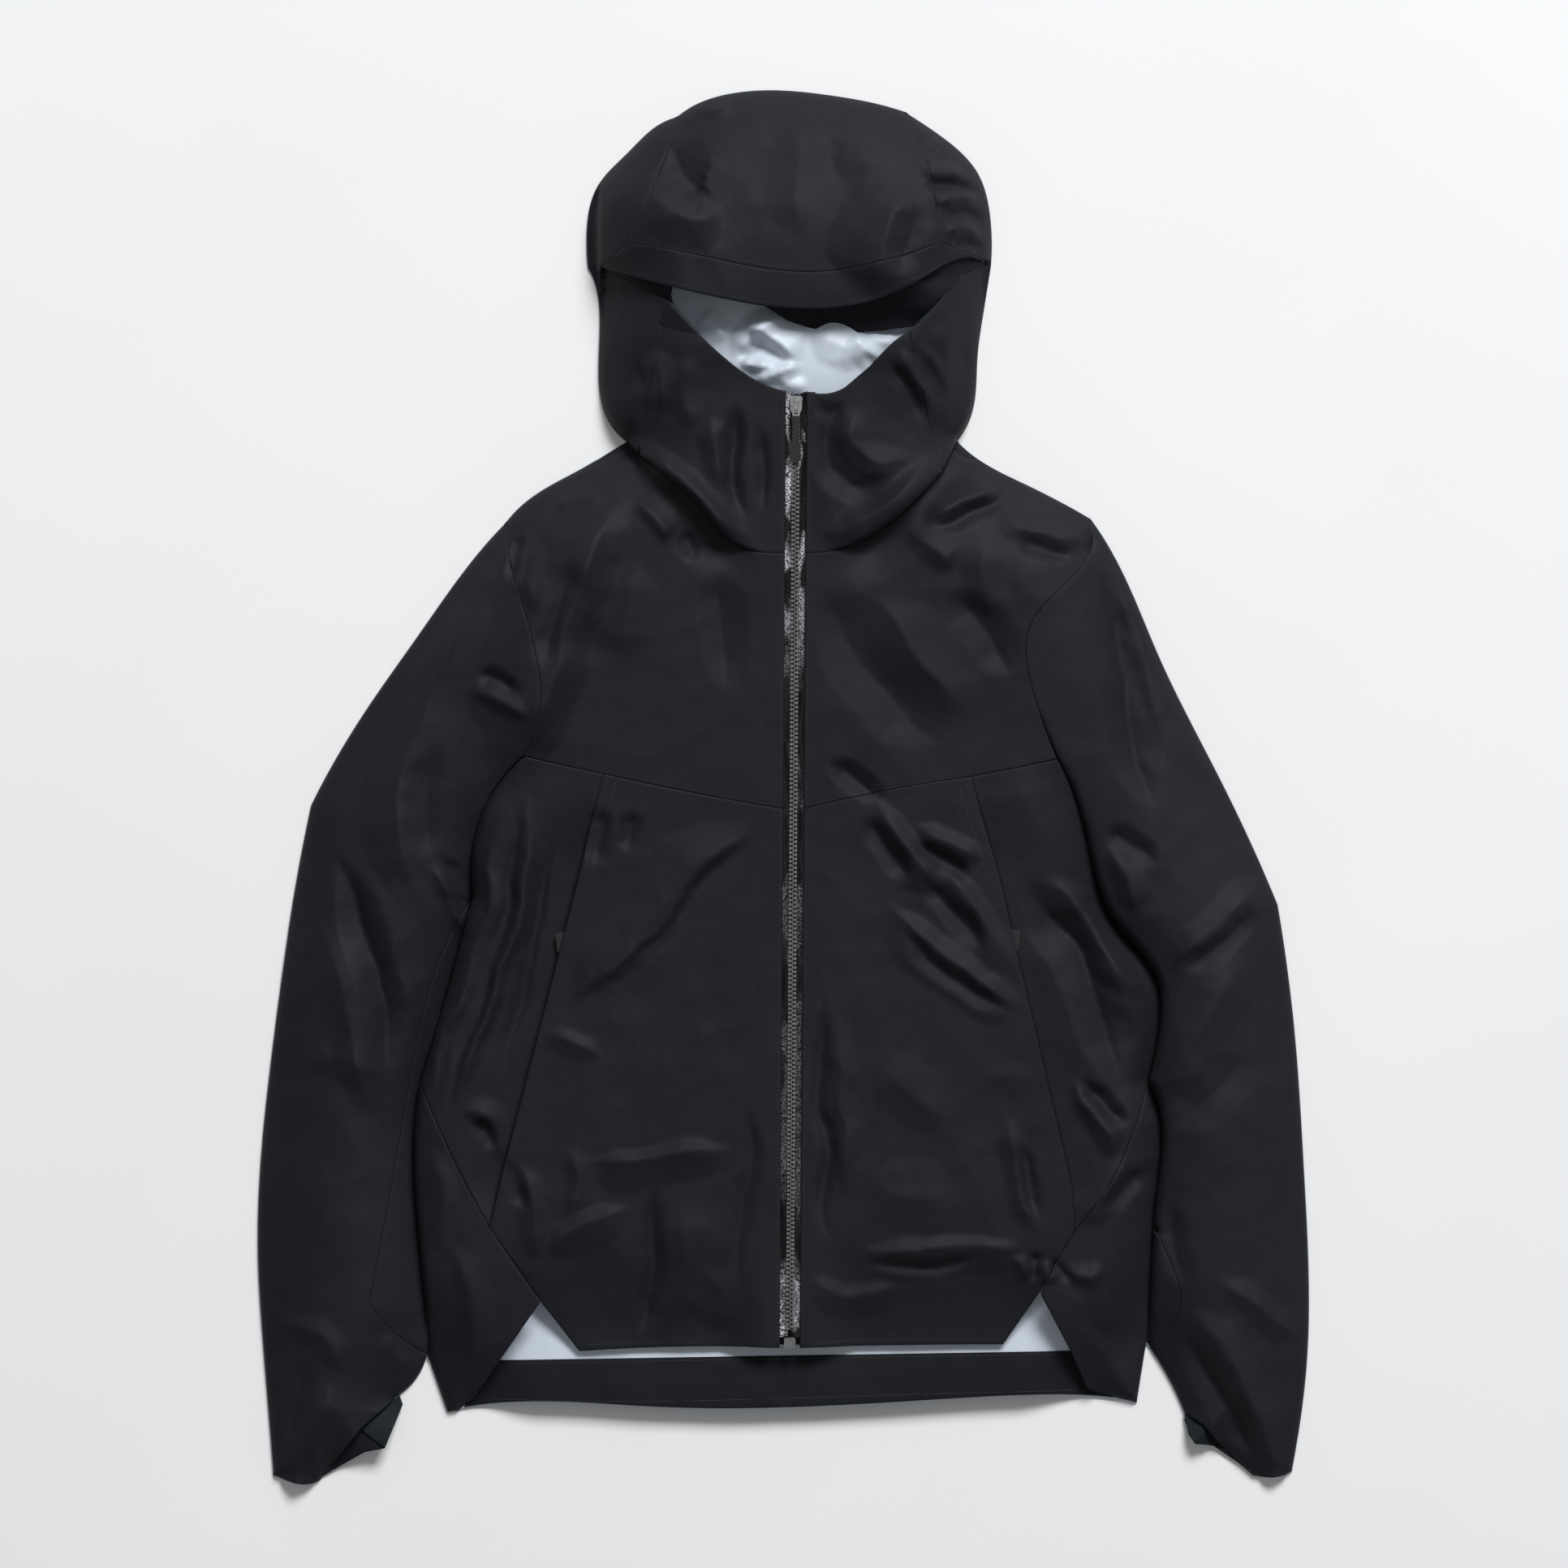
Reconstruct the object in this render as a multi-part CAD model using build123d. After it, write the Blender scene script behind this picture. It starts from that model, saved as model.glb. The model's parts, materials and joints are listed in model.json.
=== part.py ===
from build123d import *
import math
import os

# A hooded shell jacket laid flat on its back, zipped up.  Millimetres, +Z up.
# The origin is on the floor under the middle of the garment, +Y points to the hood
# and +X to the wearer's left.  "left" and "right" in every name are the wearer's.

os.makedirs("parts", exist_ok=True)

# ---- driving dimensions -------------------------------------------------------------
FABRIC = 1.2            # laminate, drawn thicker than the real 0.4 mm so that it is a solid
LINING = 0.7            # facings, tapes and pocket bags
LAYER_GAP = 0.6         # air between two layers that lie on each other
EDGE_TOP = 5.0          # height of the front layer where it folds round to the back layer
FOLD_RADIUS = 72.0      # how far in from an outer fold the garment reaches its full height
VALLEY_RADIUS = 52.0    # half width of the valley between body and sleeve
SAMPLE_STEP = 17.0      # spacing of the points that carry a draped surface
SURFACE_TOLERANCE = 0.3 # how closely a draped surface keeps to those points
SHEET_MARGIN = 8.0      # how far a draped surface runs past its panel before trimming
TALL = 130.0            # taller than anything in the garment

ZIP_TOP = Vector(10.5, 292.0, 46.0)
ZIP_BOTTOM = Vector(5.7, -413.0, 26.0)
ZIP_LENGTH = (ZIP_BOTTOM - ZIP_TOP).length
ZIP_GAP = 7.5           # from the zip's centre line to the edge of either front
TAPE_HALF = 14.0
TOOTH_PITCH = 3.2
TOOTH_HEIGHT = 2.4
TOOTH_TOP = -0.35       # teeth lie just under the outer face of the fronts
SLIDER_LENGTH = 12.4
SLIDER_HALF_WIDTH = 4.6
SLIDER_FROM_TOP = 8.8   # slider's middle below the top end of the zip
BOX_LENGTH = 8.0
PULL_PIVOT_BACK = 2.0   # pull pin above the slider's middle, along the zip
PULL_PIN_HEIGHT = 2.1
PULL_TAB_LENGTH = 40.0
CHANNEL_HALF = 3.3      # half width of the channel through the slider
FLAP_BELOW = 5.6        # storm flap's top below the fronts
GUARD_BELOW = 6.9       # chin guard's top below the fronts

POCKET_INSET = 6.0      # pocket zip's centre line behind the pocket flap's edge
POCKET_DROP = 6.0       # side panel below the flap along the pocket mouth
POCKET_FADE = 60.0
POCKET_BAG_DROP = 9.5
POCKET_SLIDER_AT = 38.0

SLEEVE_RIDGE = 31.0
CUFF_RIDGE = 25.0
BRIM_RIDGE = 74.0
CROWN_RIDGE = 56.0

# ---- outlines, in plan --------------------------------------------------------------
# Each line is given once and shared by the panels on both sides of it.
HOOD_SIDE_RIGHT = [(-115, 257), (-129, 273), (-136, 317), (-144, 386)]
HOOD_RIM_RIGHT = [(-144, 386), (-145, 407), (-136, 448), (-115, 471), (-92, 492), (-78, 498)]
HOOD_RIM_TOP = [(-78, 498), (-58, 510), (-41, 515), (37, 514), (70, 508), (91, 502)]
HOOD_RIM_LEFT = [(91, 502), (115, 486), (146, 455), (154, 428), (155, 388)]
HOOD_SIDE_LEFT = [(155, 388), (149, 350), (145, 320), (143, 288), (130, 258)]
CROWN_SEAM_RIGHT = [(-78, 498), (-88, 461), (-99, 436), (-114, 402)]
CROWN_SEAM_LEFT = [(91, 502), (106, 466), (113, 434), (117, 402)]
BRIM_SEAM = [(-114, 402), (-46, 389), (18, 380), (75, 388), (117, 402)]
BRIM_EDGE = [(-133, 386), (-94, 373), (-46, 361), (7, 353), (56, 356), (99, 373), (131, 391), (151, 391)]
FACE_EDGE_RIGHT_OUTER = [(-133, 386), (-110, 374), (-84, 360)]
FACE_EDGE_RIGHT = [(-84, 360), (-66, 340), (-38, 314), (-19, 301), (3, 293)]
FACE_EDGE_LEFT = [(18, 293), (43, 294), (69, 316), (94, 337)]
FACE_EDGE_LEFT_OUTER = [(94, 337), (118, 362), (133, 379), (151, 391)]
COLLAR_SEAM_RIGHT = [(-84, 360), (-92, 319), (-106, 247)]
COLLAR_SEAM_LEFT = [(94, 337), (101, 300), (119, 234)]
NECK_SEAM_RIGHT = [(2.2, 174), (-26, 177), (-46, 188), (-61, 208), (-81, 227), (-106, 247)]
NECK_SEAM_LEFT = [(17.2, 174), (40, 176), (68, 187), (90, 204), (119, 234)]
NECK_END_RIGHT = [(-106, 247), (-115, 257)]
NECK_END_LEFT = [(119, 234), (130, 258)]
SHOULDER_RIGHT = [(-115, 257), (-126, 251), (-146, 239), (-183, 218), (-205, 197)]
SHOULDER_LEFT = [(130, 258), (154, 239), (178, 227), (204, 214), (229, 200)]
ARMHOLE_RIGHT = [(-205, 197), (-196, 149), (-178, 72), (-191, 24)]
ARMHOLE_LEFT = [(229, 200), (223, 167), (182, 118), (186, 68), (203, 22)]
CHEST_SEAM_RIGHT = [(0.9, -15), (-55, -5), (-132, 11)]
CHEST_SEAM_LEFT = [(15.9, -15), (58, -5), (140, 9)]
CHEST_END_RIGHT = [(-132, 11), (-174, 20), (-191, 24)]
CHEST_END_LEFT = [(140, 9), (171, 15), (203, 22)]
POCKET_STITCH_RIGHT = [(-132, 11), (-139, -18), (-149, -61)]
POCKET_STITCH_LEFT = [(140, 9), (148, -22), (159, -59)]
POCKET_MOUTH_RIGHT = [(-149, -61), (-207, -286)]
POCKET_MOUTH_LEFT = [(159, -59), (214, -293)]
POCKET_END_RIGHT = [(-207, -286), (-216, -324)]
POCKET_END_LEFT = [(214, -293), (216, -327)]
BODY_EDGE_RIGHT = [(-191, 24), (-219, -12), (-229, -80)]
BODY_LOW_EDGE_RIGHT = [(-229, -80), (-249, -154), (-268, -218)]
BODY_EDGE_LEFT = [(203, 22), (227, -44), (242, -92), (279, -146), (280, -167), (271, -216)]
HIP_EDGE_RIGHT = [(-268, -218), (-272, -250), (-269, -333), (-263, -419)]
HIP_EDGE_LEFT = [(271, -216), (281, -265), (278, -293), (275, -323)]
HIP_LOW_EDGE_LEFT = [(275, -323), (270, -411)]
HIP_SEAM_RIGHT = [(-268, -218), (-247, -265), (-216, -324)]
HIP_SEAM_LEFT = [(271, -216), (250, -277), (216, -327)]
HIP_SEAM_END_RIGHT = [(-216, -324), (-178.5, -379)]
HIP_SEAM_END_LEFT = [(216, -327), (190.5, -372)]
NOTCH_FRONT_RIGHT = [(-178.5, -379), (-150, -416)]
NOTCH_FRONT_LEFT = [(190.5, -372), (163.5, -411)]
NOTCH_BACK_RIGHT = [(-178.5, -379), (-210, -426), (-223, -451), (-240, -461), (-248, -462)]
NOTCH_BACK_LEFT = [(190.5, -372), (215, -418), (227, -444), (238, -449), (263, -455)]
CORNER_RIGHT = [(-263, -419), (-248, -462)]
CORNER_LEFT = [(270, -411), (263, -455)]
FRONT_HEM_RIGHT = [(-150, -416), (-106, -413.5), (-1.8, -413)]
FRONT_HEM_LEFT = [(163.5, -411), (86, -411.5), (13.2, -413)]
BACK_HEM = [(-248, -462), (-223, -457), (-93, -458), (124, -452), (226, -450), (263, -455)]
BACK_BAND_LOW = [(-236, -458.4), (-223, -456.2), (-93, -457.2), (124, -451.2), (226, -449.2), (246, -451)]
BACK_BAND_TOP = [(-214, -423), (217, -416)]
UPPER_ARM_RIGHT = [(-205, 197), (-225, 175), (-271, 112), (-306, 62), (-349, -12)]
FOREARM_RIGHT = [(-349, -12), (-361, -74), (-376, -179), (-388.5, -345), (-385, -407), (-377, -509)]
UPPER_ARM_LEFT = [(229, 200), (241, 182), (280, 97), (326, 5), (367.5, -86)]
FOREARM_LEFT = [(367.5, -86), (380, -179), (387, -280), (388.5, -434), (384, -471), (378, -506)]
CUFF_END_RIGHT = [(-377, -509), (-363, -513.5), (-350, -515), (-343, -513)]
CUFF_END_LEFT = [(378, -506), (370, -509), (359, -510), (349, -509)]
CUFF_NOTCH_RIGHT = [(-343, -513), (-328, -494), (-312, -474), (-283.5, -449)]
CUFF_NOTCH_LEFT = [(349, -509), (332, -494), (312, -471), (298, -462)]
INNER_WRIST_RIGHT = [(-283.5, -449), (-271, -437), (-263, -419)]
INNER_WRIST_LEFT = [(298, -462), (285, -434), (270, -411)]
UNDERARM_SEAM_RIGHT = [(-229, -80), (-263, -158), (-277, -229), (-291, -307), (-305, -380)]
UNDERARM_HOOK_RIGHT = [(-305, -380), (-294, -395), (-263, -419)]
UNDERARM_SEAM_LEFT = [(275, -323), (286, -347), (294, -383), (286, -401), (270, -411)]
GUSSET_RIGHT = [(-312, -474), (-283.5, -449), (-281, -456), (-287, -471), (-294, -488)]
GUSSET_LEFT = [(312, -471), (298, -462), (301, -478), (306, -485), (316, -486)]
CUFF_BACK_RIGHT = [(-377, -507), (-343, -511), (-309, -491), (-294, -488), (-287, -471), (-371, -471)]
CUFF_BACK_LEFT = [(378, -504), (349, -507), (320, -487), (305, -484), (298, -467), (372, -467)]
BACK_NECK = [(-115, 257), (-60, 246), (8, 242), (70, 246), (130, 258)]
BACK_YOKE_LINE = [(-186, 108), (8, 96), (183, 108)]
BACK_ARMHOLE_RIGHT = [(-205, 197), (-196, 149), (-186, 108)]
BACK_ARMHOLE_LEFT = [(229, 200), (205, 158), (183, 108)]
BACK_SIDE_RIGHT = [(-186, 108), (-181, 66), (-191, 24)]
BACK_SIDE_LEFT = [(183, 108), (186, 68), (203, 22)]

PAST_HEM = -620.0
CUFF_RUN_RIGHT = [(-372, PAST_HEM), (-296, PAST_HEM), (-287, -471)]
CUFF_RUN_LEFT = [(298, -462), (312, PAST_HEM), (374, PAST_HEM)]
HEM_RUN = [(-236, PAST_HEM), (252, PAST_HEM)]


# ---- the lay of the garment ---------------------------------------------------------
def segment_distance(point, start, end):
    """Distance in plan from a point to the stretch between two others."""
    run_x = end[0] - start[0]
    run_y = end[1] - start[1]
    along = ((point[0] - start[0]) * run_x + (point[1] - start[1]) * run_y) / (run_x**2 + run_y**2)
    along = min(max(along, 0.0), 1.0)
    return math.hypot(point[0] - start[0] - along * run_x, point[1] - start[1] - along * run_y)


def line_distance(point, line):
    return min(segment_distance(point, line[i], line[i + 1]) for i in range(len(line) - 1))


def is_inside(point, polygon):
    """Even-odd rule for a closed polygon."""
    inside = False
    for i in range(len(polygon)):
        x1, y1 = polygon[i]
        x2, y2 = polygon[i - 1]
        if (y1 > point[1]) != (y2 > point[1]):
            if point[0] < (x2 - x1) * (point[1] - y1) / (y2 - y1) + x1:
                inside = not inside
    return inside


def folded_outline():
    """The outer folds all the way round; cuffs and hem run on past their open ends."""
    right_hood = HOOD_SIDE_RIGHT + HOOD_RIM_RIGHT[1:] + HOOD_RIM_TOP[1:]
    left_hood = HOOD_RIM_LEFT[1:] + HOOD_SIDE_LEFT[1:]
    left_arm = SHOULDER_LEFT[1:] + UPPER_ARM_LEFT[1:] + FOREARM_LEFT[1:]
    left_low = CUFF_RUN_LEFT[::-1] + INNER_WRIST_LEFT[1:] + CORNER_LEFT[1:]
    right_low = HEM_RUN[::-1] + CORNER_RIGHT[::-1] + INNER_WRIST_RIGHT[-2::-1] + CUFF_RUN_RIGHT[::-1]
    right_arm = FOREARM_RIGHT[::-1] + UPPER_ARM_RIGHT[-2::-1] + SHOULDER_RIGHT[-2:0:-1]
    return right_hood + left_hood + left_arm + left_low + right_low + right_arm


OUTER_FOLDS = folded_outline()
VALLEY_RIGHT = [(-182, 95), (-191, 24)] + BODY_EDGE_RIGHT[1:] + BODY_LOW_EDGE_RIGHT[1:] + HIP_EDGE_RIGHT[1:]
VALLEY_LEFT = [(184, 95), (203, 22)] + BODY_EDGE_LEFT[1:] + HIP_EDGE_LEFT[1:] + HIP_LOW_EDGE_LEFT[1:]


def dome(part):
    """0 at a fold and 1 well inside it, rising steeply first; carries on straight outside."""
    if part < 0:
        return 2 * part
    return 1 - (1 - min(part, 1.0)) ** 2


def smooth(part):
    part = min(max(part, 0.0), 1.0)
    return part * part * (3 - 2 * part)


def blend(start, end, part):
    return start + (end - start) * smooth(part)


def zip_x(y):
    return ZIP_TOP.X + (ZIP_BOTTOM.X - ZIP_TOP.X) * (ZIP_TOP.Y - y) / (ZIP_TOP.Y - ZIP_BOTTOM.Y)


def zip_z(y):
    return ZIP_TOP.Z + (ZIP_BOTTOM.Z - ZIP_TOP.Z) * (ZIP_TOP.Y - y) / (ZIP_TOP.Y - ZIP_BOTTOM.Y)


def full_height(x, y):
    """Height of the front layer well away from every fold."""
    if y > ZIP_TOP.Y:
        rise = blend(zip_z(y), BRIM_RIDGE, (y - ZIP_TOP.Y) / 80)
        return blend(rise, CROWN_RIDGE, (y - 395) / 110)
    sleeve = blend(SLEEVE_RIDGE, CUFF_RIDGE, (-200 - y) / 280)
    return blend(zip_z(y), sleeve, (abs(x) - 185) / 90)


def lay_height(x, y):
    """Top of the front layer above the floor."""
    fold = line_distance((x, y), OUTER_FOLDS + OUTER_FOLDS[:1])
    if not is_inside((x, y), OUTER_FOLDS):
        fold = -min(fold, SHEET_MARGIN)
    valley = min(line_distance((x, y), VALLEY_RIGHT), line_distance((x, y), VALLEY_LEFT))
    depth = blend(0.0, 0.78, (60 - y) / 170)
    sunk = 1 - depth * (1 - dome(valley / VALLEY_RADIUS))
    return EDGE_TOP + (full_height(x, y) - EDGE_TOP) * dome(fold / FOLD_RADIUS) * sunk


def side_height(x, y):
    """The side panel passes under the pocket flap, so it lies lower along the mouth."""
    mouth = POCKET_MOUTH_RIGHT if x < 0 else POCKET_MOUTH_LEFT
    away = line_distance((x, y), mouth)
    return lay_height(x, y) - blend(POCKET_DROP, 0.0, away / POCKET_FADE)


# ---- building blocks ----------------------------------------------------------------
def line_through(points):
    """A straight line for two points and a smooth curve for more."""
    flat = [(x, y, 0) for x, y in points]
    if len(flat) == 2:
        return [Edge.make_line(flat[0], flat[1])]
    return [Edge.make_spline([Vector(*p) for p in flat])]


def straight_through(points):
    flat = [(x, y, 0) for x, y in points]
    return [Edge.make_line(flat[i], flat[i + 1]) for i in range(len(flat) - 1)]


def plan_face(*lines):
    edges = []
    for line in lines:
        edges += line_through(line)
    return make_face(edges)


def polygon_face(points):
    return make_face(straight_through(points + points[:1]))


def zip_line(side, y_from, y_to):
    """The edge of a front beside the zip; side is -1 for right and +1 for left."""
    reach = side * ZIP_GAP
    return [(zip_x(y_from) + reach, y_from), (zip_x(y_to) + reach, y_to)]


def draped_sheet(face, height, thickness, drop=0.0):
    """A layer of even thickness whose top follows a height function, cut to a plan outline."""
    box = face.bounding_box()
    low_x = box.min.X - SHEET_MARGIN
    low_y = box.min.Y - SHEET_MARGIN
    span_x = box.max.X + SHEET_MARGIN - low_x
    span_y = box.max.Y + SHEET_MARGIN - low_y
    count_x = max(5, math.ceil(span_x / SAMPLE_STEP) + 1)
    count_y = max(5, math.ceil(span_y / SAMPLE_STEP) + 1)
    rows = []
    for i in range(count_x):
        x = low_x + span_x * i / (count_x - 1)
        row = []
        for j in range(count_y):
            y = low_y + span_y * j / (count_y - 1)
            row.append(Vector(x, y, height(x, y) - drop))
        rows.append(row)
    surface = Face.make_surface_from_array_of_points(rows, tol=SURFACE_TOLERANCE)
    prism = Pos(0, 0, -TALL / 4) * extrude(face, amount=TALL, dir=(0, 0, 1))
    trimmed = max((surface & prism).faces(), key=lambda piece: piece.area)
    return extrude(trimmed, amount=thickness, dir=(0, 0, -1))


def flat_sheet(face, bottom, thickness):
    return Pos(0, 0, bottom) * extrude(face, amount=thickness, dir=(0, 0, 1))


def offset_line(line, shift_x, shift_y):
    return [(x + shift_x, y + shift_y) for x, y in line]


def frame_along(top, bottom, normal_hint=Vector(0, 0, 1)):
    """A local frame at the top of a line: Y up the line and Z out of the garment."""
    up = (top - bottom).normalized()
    across = up.cross(normal_hint).normalized()
    return Plane(origin=top, x_dir=across, z_dir=across.cross(up))


def block(x_from, x_to, y_from, y_to, z_from, z_to):
    centre = Pos((x_from + x_to) / 2, (y_from + y_to) / 2, (z_from + z_to) / 2)
    return centre * Box(abs(x_to - x_from), abs(y_to - y_from), abs(z_to - z_from))


# ---- back layers --------------------------------------------------------------------
def back_yoke_panel():
    face = plan_face(SHOULDER_RIGHT, BACK_ARMHOLE_RIGHT, BACK_YOKE_LINE, BACK_ARMHOLE_LEFT,
                     SHOULDER_LEFT, BACK_NECK)
    return flat_sheet(face, 0, FABRIC)


def back_body_panel():
    face = plan_face(BACK_YOKE_LINE, BACK_SIDE_RIGHT, BODY_EDGE_RIGHT, BODY_LOW_EDGE_RIGHT, HIP_EDGE_RIGHT,
                     CORNER_RIGHT, BACK_HEM, CORNER_LEFT, HIP_LOW_EDGE_LEFT, HIP_EDGE_LEFT, BODY_EDGE_LEFT,
                     BACK_SIDE_LEFT)
    return flat_sheet(face, 0, FABRIC)


def hood_back_panel():
    face = plan_face(BACK_NECK, HOOD_SIDE_RIGHT, HOOD_RIM_RIGHT, HOOD_RIM_TOP, HOOD_RIM_LEFT,
                     HOOD_SIDE_LEFT)
    return flat_sheet(face, 0, FABRIC)


def sleeve_back_right():
    face = plan_face(BACK_ARMHOLE_RIGHT, UPPER_ARM_RIGHT, FOREARM_RIGHT, CUFF_BACK_RIGHT[0:2],
                     CUFF_BACK_RIGHT[1:3], CUFF_BACK_RIGHT[2:4], CUFF_BACK_RIGHT[3:5],
                     [CUFF_BACK_RIGHT[4], INNER_WRIST_RIGHT[0]], INNER_WRIST_RIGHT, HIP_EDGE_RIGHT,
                     BODY_LOW_EDGE_RIGHT, BODY_EDGE_RIGHT, BACK_SIDE_RIGHT,
                     [FOREARM_RIGHT[-1], CUFF_BACK_RIGHT[0]])
    return flat_sheet(face, 0, FABRIC)


def sleeve_back_left():
    face = plan_face(BACK_ARMHOLE_LEFT, UPPER_ARM_LEFT, FOREARM_LEFT, CUFF_BACK_LEFT[0:2],
                     CUFF_BACK_LEFT[1:3], CUFF_BACK_LEFT[2:4], CUFF_BACK_LEFT[3:5],
                     [CUFF_BACK_LEFT[4], INNER_WRIST_LEFT[0]], INNER_WRIST_LEFT, HIP_LOW_EDGE_LEFT,
                     HIP_EDGE_LEFT, BODY_EDGE_LEFT, BACK_SIDE_LEFT,
                     [FOREARM_LEFT[-1], CUFF_BACK_LEFT[0]])
    return flat_sheet(face, 0, FABRIC)


def back_hem_facing():
    """Wide band inside the back hem, seen below the shorter front."""
    face = plan_face(BACK_BAND_LOW, BACK_BAND_TOP, [BACK_BAND_LOW[0], BACK_BAND_TOP[0]],
                     [BACK_BAND_LOW[-1], BACK_BAND_TOP[-1]])
    return flat_sheet(face, FABRIC, LINING)


def cuff_facing(points):
    return flat_sheet(polygon_face(points), FABRIC, LINING)


def neck_label():
    return flat_sheet(polygon_face([(-12, 212), (28, 212), (28, 232), (-12, 232)]), FABRIC, 0.5)


def hanger_loop():
    """A short woven strap, sewn down at both ends and standing off the collar between them."""
    low = FABRIC + 0.1
    strap = block(-22, 38, 236, 241, low, low + 5.8)
    finger_gap = block(-14, 30, 235, 242, low - 1, low + 4.8)
    return strap - finger_gap


# ---- hood and collar ----------------------------------------------------------------
def hood_crown_panel():
    face = plan_face(HOOD_RIM_TOP, CROWN_SEAM_RIGHT, BRIM_SEAM, CROWN_SEAM_LEFT)
    return draped_sheet(face, lay_height, FABRIC)


def brim_face():
    return plan_face(BRIM_EDGE, [BRIM_EDGE[0], BRIM_SEAM[0]], BRIM_SEAM, [BRIM_SEAM[-1], BRIM_EDGE[-1]])


def hood_brim():
    return draped_sheet(brim_face(), lay_height, FABRIC)


def brim_strip_face(depth):
    """The front part of the brim: its edge and the same edge moved back."""
    inner = offset_line(BRIM_EDGE[1:-1], 0, depth)
    front = offset_line(BRIM_EDGE[1:-1], 0, 0.6)
    return plan_face(front, inner, [front[0], inner[0]], [front[-1], inner[-1]])


def brim_stiffener():
    return draped_sheet(brim_strip_face(15), lay_height, LINING, FABRIC + LAYER_GAP)


def brim_facing():
    return draped_sheet(brim_strip_face(19), lay_height, LINING, FABRIC + LINING + 2 * LAYER_GAP)


def hood_side_right():
    face = plan_face(CROWN_SEAM_RIGHT, HOOD_RIM_RIGHT, HOOD_SIDE_RIGHT, NECK_END_RIGHT, COLLAR_SEAM_RIGHT,
                     FACE_EDGE_RIGHT_OUTER, [BRIM_EDGE[0], BRIM_SEAM[0]])
    return draped_sheet(face, lay_height, FABRIC)


def hood_side_left():
    face = plan_face(CROWN_SEAM_LEFT, HOOD_RIM_LEFT, HOOD_SIDE_LEFT, NECK_END_LEFT, COLLAR_SEAM_LEFT,
                     FACE_EDGE_LEFT_OUTER, [BRIM_SEAM[-1], BRIM_EDGE[-1]])
    return draped_sheet(face, lay_height, FABRIC)


def collar_right():
    top = FACE_EDGE_RIGHT[-1]
    face = plan_face(FACE_EDGE_RIGHT, COLLAR_SEAM_RIGHT, NECK_SEAM_RIGHT, [top, NECK_SEAM_RIGHT[0]])
    return draped_sheet(face, lay_height, FABRIC)


def collar_left():
    top = FACE_EDGE_LEFT[0]
    face = plan_face(FACE_EDGE_LEFT, COLLAR_SEAM_LEFT, NECK_SEAM_LEFT, [top, NECK_SEAM_LEFT[0]])
    return draped_sheet(face, lay_height, FABRIC)


def face_edge_facing(line, shift):
    """Inner binding along the lower edge of the face opening."""
    inner = offset_line(line, shift, -16)
    outer = offset_line(line, shift / 20, -0.8)
    face = plan_face(outer, inner, [outer[0], inner[0]], [outer[-1], inner[-1]])
    return draped_sheet(face, lay_height, LINING, FABRIC + LAYER_GAP)


# ---- body ---------------------------------------------------------------------------
def front_yoke_right():
    face = plan_face(NECK_SEAM_RIGHT, NECK_END_RIGHT, SHOULDER_RIGHT, ARMHOLE_RIGHT, CHEST_END_RIGHT,
                     CHEST_SEAM_RIGHT, [CHEST_SEAM_RIGHT[0], NECK_SEAM_RIGHT[0]])
    return draped_sheet(face, lay_height, FABRIC)


def front_yoke_left():
    face = plan_face(NECK_SEAM_LEFT, NECK_END_LEFT, SHOULDER_LEFT, ARMHOLE_LEFT, CHEST_END_LEFT,
                     CHEST_SEAM_LEFT, [CHEST_SEAM_LEFT[0], NECK_SEAM_LEFT[0]])
    return draped_sheet(face, lay_height, FABRIC)


def front_lower_right():
    face = plan_face(CHEST_SEAM_RIGHT, POCKET_STITCH_RIGHT, POCKET_MOUTH_RIGHT, POCKET_END_RIGHT,
                     HIP_SEAM_END_RIGHT, NOTCH_FRONT_RIGHT, FRONT_HEM_RIGHT,
                     [FRONT_HEM_RIGHT[-1], CHEST_SEAM_RIGHT[0]])
    return draped_sheet(face, lay_height, FABRIC)


def front_lower_left():
    face = plan_face(CHEST_SEAM_LEFT, POCKET_STITCH_LEFT, POCKET_MOUTH_LEFT, POCKET_END_LEFT,
                     HIP_SEAM_END_LEFT, NOTCH_FRONT_LEFT, FRONT_HEM_LEFT,
                     [FRONT_HEM_LEFT[-1], CHEST_SEAM_LEFT[0]])
    return draped_sheet(face, lay_height, FABRIC)


def side_panel_right():
    face = plan_face(CHEST_END_RIGHT, BODY_EDGE_RIGHT, BODY_LOW_EDGE_RIGHT, HIP_SEAM_RIGHT,
                     POCKET_END_RIGHT, POCKET_MOUTH_RIGHT, POCKET_STITCH_RIGHT)
    return draped_sheet(face, side_height, FABRIC)


def side_panel_left():
    face = plan_face(CHEST_END_LEFT, BODY_EDGE_LEFT, HIP_SEAM_LEFT, POCKET_END_LEFT,
                     POCKET_MOUTH_LEFT, POCKET_STITCH_LEFT)
    return draped_sheet(face, side_height, FABRIC)


def hip_panel_right():
    face = plan_face(HIP_SEAM_RIGHT, HIP_SEAM_END_RIGHT, NOTCH_BACK_RIGHT, CORNER_RIGHT, HIP_EDGE_RIGHT)
    return draped_sheet(face, lay_height, FABRIC)


def hip_panel_left():
    face = plan_face(HIP_SEAM_LEFT, HIP_SEAM_END_LEFT, NOTCH_BACK_LEFT, CORNER_LEFT,
                     HIP_LOW_EDGE_LEFT, HIP_EDGE_LEFT)
    return draped_sheet(face, lay_height, FABRIC)


def front_hem_facing(points):
    return draped_sheet(polygon_face(points), lay_height, LINING, FABRIC + LAYER_GAP)


def pocket_bag(points):
    return draped_sheet(polygon_face(points), lay_height, LINING, POCKET_BAG_DROP)


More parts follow.
